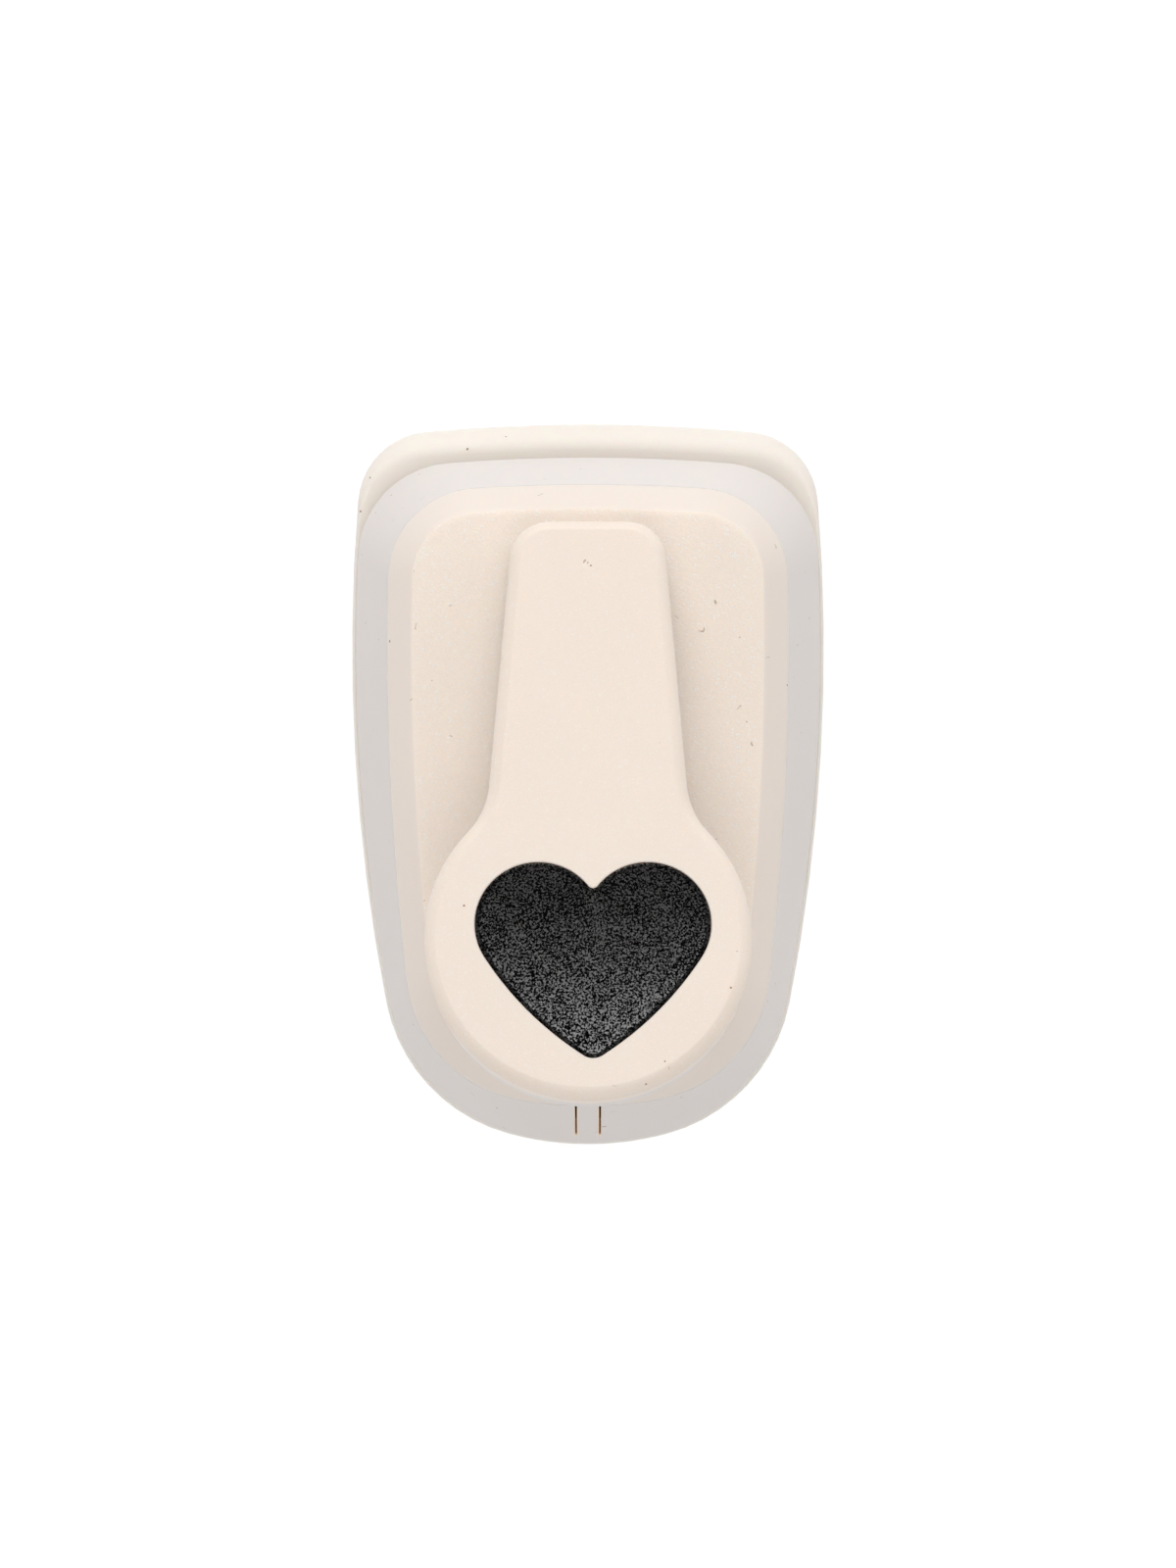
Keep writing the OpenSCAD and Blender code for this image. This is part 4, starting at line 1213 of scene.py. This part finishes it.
@dataclass(frozen=True)
class LeverAssembly(SubAssembly):
    """Keyhole-shaped lever with its heart inlay, in the level lever's sizes."""

    stock: tuple[Plain, ...] = (
        Plain(("lever_arm", "press_bar"), Look.STEEL, 0.1, Body.LEVER),
        Plain(("lever_pin", "pin_washers"), Look.STEEL, 0.1),
        Plain(("pin_clip",), Look.DARK, 0.05))
    outline: LeverOutline = LeverOutline()
    pin_y: float = 20.5
    pin_z: float = 27.0
    swing: float = 15.0
    low: float = 6.5
    seam: float = 8.9
    ceiling: float = 10.2
    top: float = 12.2
    # The cap's inside and lower edge, and its crowned upper edge
    cap_inside: Profile = ((1.5, 10.2), (1.5, 8.9), (0.26, 8.9), (0.12, 9.02))
    crown_w: float = 1.15
    crown_start: float = 70.0
    crown_end: float = 21.0
    crown_steps: int = 11
    crown_draft: float = 0.06
    crown_line: float = 0.12
    crown_land: float = 0.6
    line_steps: int = 3
    # Screws on the right side: how far out, how far back, and the boss's low end
    screws: tuple[Spot, Spot] = ((3.2, 27.0, 9.65), (8.0, 47.3, 8.15))
    screw_up: float = 0.1
    boss_d: float = 4.6
    boss_root: float = 0.5
    bore_d: float = 2.0
    bore_end: float = 0.8
    sink: Profile = ((4.1, 6.49), (2.3, 7.39), (2.3, 12.2))
    # The body's outside, its locating rim, its hollow and the arm's slots
    skin: Profile = ((0.75, 6.5), (0.55, 6.58), (0.3, 6.9), (0.15, 8.8), (0.2, 8.88))
    rim: Profile = ((1.65, 7.9), (1.65, 9.85), (1.77, 10.0))
    hollow: Profile = ((2.35, 8.1), (2.35, 11.2))
    slots: tuple[tuple[Spot, Spot], ...] = (((-5.7, -19.2, 5.5), (-3.8, -0.6, 9.1)),
                                            ((3.8, -19.2, 5.5), (5.7, -0.6, 9.1)))
    # The heart, its recess and the inlay
    heart: HeartOutline = HeartOutline()
    heart_x: float = 0.5
    heart_y: float = -42.64
    recess: Profile = ((-0.075, 11.4), (-0.075, 12.1), (-0.18, 12.22), (-0.18, 13.2))
    inlay: Profile = ((0.0, 11.41), (0.0, 12.0), (0.04, 12.08), (0.12, 12.12), (0.5, 12.12))

    @property
    def place(self) -> Matrix:
        """Where the level lever stands when it is at rest."""
        return (Matrix.Translation((0, self.pin_y, self.pin_z))
                @ Matrix.Rotation(math.radians(-self.swing), 4, "X"))

    @property
    def spots(self) -> list[Spot]:
        """Screw places on the level lever, each with its boss's low end."""
        return [(side * x, -y, low) for x, y, low in self.screws for side in (-1, 1)]

    def build(self, shop: Workshop) -> None:
        """Builds and dresses the lever and its pivot.

        Args:
            shop: The materials and recipes.
        """
        shop.dress(self.cap(), Look.CREAM_PAD, Body.LEVER, "lever_cap")
        shop.dress(self.tray(), Look.GREY, Body.LEVER, "lever_body")
        heart = add_object(loft("heart_inlay_fine", self.heart_at, self.inlay, self.place))
        shop.dress(smooth(heart), Look.BLACK, Body.LEVER, "heart_inlay")
        super().build(shop)
        heads = tuple(tuple(self.place @ Vector((x, y, self.low + self.screw_up)))
                      for x, y, _ in self.spots)
        ScrewSet("lever_screws", Head.SUNK, 2.0, 4.3, heads, 12, -self.swing,
                 Body.LEVER).build(shop)

    def heart_at(self, inset: float) -> Outline:
        """The heart's outline in its place on the lever."""
        return [(x + self.heart_x, y + self.heart_y) for x, y in self.heart.at(inset)]

    def crown(self) -> list[Point]:
        """The cap's edge: a bow from the upright side to a crisp line round the top.

        Returns:
            The profile, upwards.
        """
        first, last = math.radians(self.crown_start), math.radians(self.crown_end)
        bow = self.crown_w / (math.sin(first) - math.sin(last))
        points = []
        for i in range(self.crown_steps + 1):
            a = first + (last - first) * i / self.crown_steps
            points.append((bow * (math.sin(first) - math.sin(a)),
                           self.top - bow * (math.cos(last) - math.cos(a))))
        line = soften([*points[-2:], (self.crown_w + self.crown_land, self.top)],
                      self.crown_line, self.line_steps)
        return [(self.crown_draft, (self.seam + points[0][1]) / 2), *points[:-1], *line[1:]]

    def cap(self) -> Piece:
        """Cream top with its crowned edge, the heart's recess and four bosses.

        Returns:
            The piece.
        """
        obj = add_object(loft("lever_cap_fine", self.outline.at,
                              [*self.cap_inside, *self.crown()], self.place))
        boss, bore = self.ceiling + self.boss_root, self.ceiling + self.bore_end
        cut(obj, Work.ADD, [
            rod_mesh((x, y), [(self.boss_d, low), (self.boss_d, boss)], self.place)
            for x, y, low in self.spots])
        cut(obj, Work.REMOVE, [
            loft("recess", self.heart_at, self.recess, self.place),
            *(rod_mesh((x, y), [(self.bore_d, self.low), (self.bore_d, bore)], self.place)
              for x, y, _ in self.spots)])
        return smooth(obj)

    def tray(self) -> Piece:
        """Grey lower half: a tray with a locating rim, arm slots and screw holes.

        Returns:
            The piece.
        """
        at, place = self.outline.at, self.place
        obj = add_object(loft("lever_body_fine", at, self.skin, place))
        cut(obj, Work.ADD, [loft("rim", at, self.rim, place)])
        cut(obj, Work.REMOVE, [
            loft("hollow", at, self.hollow, place),
            *(box_mesh(low, high, place) for low, high in self.slots),
            *(rod_mesh((x, y), self.sink, place) for x, y, _ in self.spots)])
        return smooth(obj)


@dataclass(frozen=True)
class HousingAssembly(SubAssembly):
    """Grey drafted housing and the cream cover on it."""

    stock: tuple[ScrewSet, ...] = (
        ScrewSet("housing_screws", Head.PAN, 2.0, 6.0,
                 ((14.4, 21.9, 20.8), (-14.4, 21.9, 20.8)), seed=15),)
    rim: RimOutline = RimOutline()
    foot_y: float = -37.75
    foot_z: float = 12.8
    seam_z: float = 28.0
    top_z: float = 32.0
    past: float = 1.0  # how far a tool reaches past what it cuts
    # The slits in the rear wall, and the edges round their lips, which take a painted glow
    slit_x: float = 1.24
    slit_w: float = 0.35
    slit_low: float = 16.0
    slit_top: float = 26.6
    slit_rear: float = -36.0
    slit_front: float = -30.0
    lip: float = 0.12
    lip_side: float = 0.09
    lip_least: float = 15.95
    edge: float = 0.07
    # Strips in a slit, which take its brown painted shade: low end, high end, how deep they lie,
    # and thickness
    floors: tuple[tuple[float, ...], ...] = (
        (11.2, 16.0, 0.04, 1.8), (15.9, 18.6, 0.2, 1.5), (18.5, 21.6, 0.38, 1.2))
    flash: tuple[float, ...] = (15.8, 27.85, 0.05, 1.0)
    flash_w: float = 0.08
    bite: float = 0.1
    wall_y_most: float = -31.0
    small: float = 3e-5
    # The cover: its inside, its bevelled edge, its grained top, painted lighter than the bevel,
    # and its window
    inside: Profile = ((3.7, 30.0), (3.25, 28.0), (3.25, 27.0), (2.15, 27.0), (2.15, 28.01))
    bevel: Profile = ((0.12, 28.01), (0.05, 28.3), (2.5, 31.82), (3.1, 32.0), (4.8, 32.0))
    bevel_reach: float = 0.5
    bevel_steps: int = 5
    bevel_crease: float = 40.0
    grain_low: float = 31.7
    grain_level: float = 0.9
    window: tuple[float, float, float] = (13.0, 0.7, 24.6)
    window_r: float = 1.5
    window_steps: int = 8
    # The cover's hooks: their places, and the width and height of stem and nose
    hook_ys: tuple[float, float] = (15.5, -12.0)
    hook_half: float = 2.0
    hook_low: float = 23.7
    hook_wall: float = 2.0
    hook_out: float = 1.9
    hook_parts: Profile = ((1.0, 5.3), (1.9, 1.1))

    def build(self, shop: Workshop) -> None:
        """Builds and dresses the housing and its cover.

        Args:
            shop: The materials and recipes.
        """
        shell = self.shell()
        shop.dress(shell, Look.GREY, Body.FRAME, "middle_housing")
        # The slits' lips take a painted glow, and their insides painted shade
        shop.trim(shell, (Look.SLIT_LIP, Look.SLIT_WALL), self.slit_part)
        super().build(shop)
        cover = self.cover()
        shop.dress(cover, Look.CREAM_BEVEL, Body.FRAME, "top_cover")
        # The top's upward faces take the lighter cream with painted glints: painted light on the
        # top, while the bevel keeps the darker copy
        shop.trim(cover, (Look.CREAM_GRAIN,), lambda face: int(
            face.normal.z > self.grain_level and face.center.z > self.grain_low * MM))

    def wall_y(self, z: float) -> float:
        """Rear face of the housing at a height."""
        rise = max(z - self.foot_z, 0.0) / (self.seam_z - self.foot_z)
        return self.foot_y + (self.rim.rear - self.foot_y) * rise

    def strip(self, x: float, width: float, low: float, high: float, sunk: float,
              depth: float) -> Mesh:
        """A thin strip that follows the slope of the rear wall.

        Args:
            x: Its left edge.
            width: Its width.
            low: Its lower end.
            high: Its upper end.
            sunk: How far it lies below the wall's face.
            depth: Its thickness.

        Returns:
            The closed strip, as a tool.
        """
        def section(y: float) -> Outline:
            """The strip seen from above."""
            return [(x, y), (x + width, y), (x + width, y + depth), (x, y + depth)]

        heights = sorted({low, min(max(low, self.foot_z), high), high})
        return loft("strip", section, [(self.wall_y(z) + sunk, z) for z in heights])

    def shell(self) -> Piece:
        """Grey housing whose two slits run from its seam to a blind lower end.

        Returns:
            The piece.
        """
        obj = fine_copy("middle_housing", self.edge)
        lefts = [side * self.slit_x - self.slit_w / 2 for side in (-1, 1)]
        cut(obj, Work.REMOVE, [
            box_mesh((x, self.slit_rear, self.slit_top),
                     (x + self.slit_w, self.slit_front, self.seam_z + self.past)) for x in lefts])
        strips = []
        for x in lefts:
            left = x - self.bite
            strips += [self.strip(left, self.slit_w + 2 * self.bite, *row)
                       for row in self.floors]
            strips += [self.strip(start, self.flash_w + self.bite, *self.flash)
                       for start in (left, x + self.slit_w - self.flash_w)]
        cut(obj, Work.ADD, strips)
        return smooth(obj)

    def slit_part(self, face: bpy.types.MeshPolygon) -> int:
        """Tells where a face of the housing is.

        Args:
            face: The face.

        Returns:
            0 for the shell, 1 for a slit's lip, which glows with painted light, 2 for its inside,
            which takes painted shade.
        """
        x, y, z = face.center / MM
        off = abs(abs(x) - self.slit_x) - self.slit_w / 2
        if (off > self.lip_side or y > self.wall_y_most or z < self.lip_least
                or face.area > self.small):
            return 0
        return 1 if y < self.wall_y(z) + self.lip else 2

    def rim_x(self, y: float) -> float:
        """Half width inside the rim at a place along Y."""
        r = self.rim.side_r - self.hook_wall
        return self.rim.half_w - self.rim.side_r + math.sqrt(r * r - (y - self.rim.side_y) ** 2)

    def cover(self) -> Piece:
        """Cream cover: soft bevel, locating rim, hooks and the lever's window.

        Returns:
            The piece.
        """
        profile = [*self.inside, *soften(self.bevel, self.bevel_reach, self.bevel_steps)]
        obj = add_object(loft("top_cover_fine", self.rim.at, profile))
        hooks = []
        for y in self.hook_ys:
            x = self.rim_x(y) - self.hook_out
            for side in (-1, 1):
                for width, rise in self.hook_parts:
                    left, right = sorted((side * x, side * (x + width)))
                    hooks.append(box_mesh((left, y - self.hook_half, self.hook_low),
                                          (right, y + self.hook_half, self.hook_low + rise)))
        cut(obj, Work.ADD, hooks)
        width, rear, front = self.window
        x, r = width / 2 - self.window_r, self.window_r
        middles = ((x, front - r), (-x, front - r), (-x, rear + r), (x, rear + r))
        window = [point for k, middle in enumerate(middles)
                  for point in arc(middle, r, k * 90, k * 90 + 90, self.window_steps)]
        ends = [(0, self.seam_z - 2 * self.past), (0, self.top_z + self.past)]
        cut(obj, Work.REMOVE, [loft("window", lambda _: window, ends)])
        return smooth(obj, self.bevel_crease)


# Studio


@dataclass(frozen=True)
class Lamp:
    """A soft white box that points at the punch."""

    name: str
    at: Spot
    size: Point
    power: float

    def hang(self, scene: bpy.types.Scene) -> None:
        """Adds the lamp.

        Args:
            scene: The scene that it lights.
        """
        data = bpy.data.lights.new(self.name, "AREA")
        data.energy, data.shape = self.power, "RECTANGLE"
        data.size, data.size_y = self.size
        lamp = bpy.data.objects.new(self.name, data)
        lamp.location = self.at
        lamp.rotation_euler = (-Vector(self.at)).to_track_quat("-Z", "Y").to_euler()
        scene.collection.objects.link(lamp)


def blank(block: bpy.types.Material | bpy.types.World) -> Nodes:
    """Switches on the nodes of a material or world and clears them.

    Args:
        block: The material or world.

    Returns:
        Its empty node tree.
    """
    block.use_nodes = True
    block.node_tree.nodes.clear()
    return Nodes(block.node_tree)


@dataclass(frozen=True)
class Studio:
    """Camera, floor, soft lamps and even surroundings, in metres."""

    height: float = 0.7
    lens: float = 149.94
    sensor: float = 36.0
    near: float = 0.01
    far: float = 20.0
    floor_half: float = 2.0
    floor_light: Colour = (0.8, 0.8, 0.8)
    floor_shade: Colour = (0.34, 0.34, 0.34)
    floor_glow: float = 0.78
    world_light: Colour = (1.0, 0.99, 0.98)
    world: float = 0.48
    horizon: Point = (0.45, 0.25)
    lamps: tuple[Lamp, ...] = (
        Lamp("front", (-0.06, 0.5, 0.26), (0.4, 0.26), 0.9),
        Lamp("left", (-0.45, 0.02, 0.28), (0.3, 0.3), 0.2),
        Lamp("right", (0.41, 0.2, 0.28), (0.3, 0.3), 0.27),
        Lamp("low_left", (-0.33, 0.36, 0.09), (0.1, 0.1), 0.08),
        Lamp("low_right", (0.33, 0.36, 0.09), (0.08, 0.1), 0.11),
        Lamp("overhead", (0.0, 0.04, 0.55), (0.26, 0.26), 0.06),
        Lamp("rear_high", (0.0, -0.2, 0.5), (0.25, 0.25), 0.34),
        Lamp("rear_low", (0.0, -0.5, 0.25), (0.4, 0.2), 0.19),
        Lamp("gloss", (0.0, 0.17, 0.49), (0.09, 0.08), 0.19))

    def build(self) -> None:
        """Sets up everything that isn't part of the punch."""
        scene = bpy.context.scene
        scene.view_settings.view_transform = "Standard"
        self.camera(scene)
        self.floor()
        self.surroundings(scene)
        for lamp in self.lamps:
            lamp.hang(scene)

    def camera(self, scene: bpy.types.Scene) -> None:
        """Looks straight down with the slot at the top of the picture.

        Args:
            scene: The scene that it shows.
        """
        data = bpy.data.cameras.new("camera")
        data.sensor_width, data.sensor_fit, data.lens = self.sensor, "AUTO", self.lens
        data.clip_start, data.clip_end = self.near, self.far
        camera = bpy.data.objects.new("camera", data)
        camera.location = (0.0, 0.0, self.height)
        scene.collection.objects.link(camera)
        scene.camera = camera

    @staticmethod
    def seen(nodes: Nodes) -> Socket:
        """One for rays that show the background, straight or in a reflection.

        Args:
            nodes: The tree that the answer is added to.

        Returns:
            The answer.
        """
        ray = nodes.node("ShaderNodeLightPath").outputs
        mirrored = nodes.math("MAXIMUM", ray["Is Glossy Ray"], ray["Is Transmission Ray"])
        return nodes.math("MAXIMUM", ray["Is Camera Ray"], mirrored)

    def floor(self) -> None:
        """A pale floor that stays white and keeps a faint shadow."""
        half = self.floor_half
        mesh = bpy.data.meshes.new("floor")
        mesh.from_pydata([(-half, -half, 0), (half, -half, 0), (half, half, 0),
                          (-half, half, 0)], [], [(0, 1, 2, 3)])
        floor = add_object(mesh)
        material = bpy.data.materials.new("pale_floor")
        nodes = blank(material)
        plain = nodes.out("ShaderNodeBsdfDiffuse", {"Color": self.floor_light})
        dim = nodes.out("ShaderNodeBsdfDiffuse", {"Color": self.floor_shade})
        glow = nodes.out("ShaderNodeEmission", {"Strength": self.floor_glow})
        pale = nodes.out("ShaderNodeAddShader", {0: dim, 1: glow})
        either = nodes.out("ShaderNodeMixShader", {0: self.seen(nodes), 1: plain, 2: pale})
        nodes.node("ShaderNodeOutputMaterial", {0: either})
        mesh.materials.append(material)

    def surroundings(self, scene: bpy.types.Scene) -> None:
        """Even light from all round, and a white background down to the horizon.

        Args:
            scene: The scene that they surround.
        """
        scene.world = bpy.data.worlds.new("surroundings")
        nodes = blank(scene.world)
        way = nodes.node("ShaderNodeTexCoord").outputs["Generated"]
        rise = nodes.node("ShaderNodeSeparateXYZ", {0: way}).outputs[2]
        low = nodes.out("ShaderNodeMapRange", {0: rise, 1: self.horizon[0], 2: self.horizon[1]})
        lit = nodes.out("ShaderNodeBackground", {"Color": self.world_light,
                                                 "Strength": self.world})
        pale = nodes.out("ShaderNodeBackground", {"Color": WHITE, "Strength": 1.0})
        either = nodes.out("ShaderNodeMixShader", {0: nodes.mul(self.seen(nodes), low),
                                                   1: lit, 2: pale})
        nodes.node("ShaderNodeOutputWorld", {0: either})


def main() -> None:
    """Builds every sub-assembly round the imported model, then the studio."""
    logging.basicConfig(level=logging.INFO, format="%(name)s: %(message)s")
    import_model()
    shop = Workshop()
    for assembly in (BaseAssembly(), CuttingFrame(), RamAssembly(), LeverAssembly(),
                     HousingAssembly()):
        assembly.build(shop)
    Studio().build()


if __name__ == "__main__":
    main()
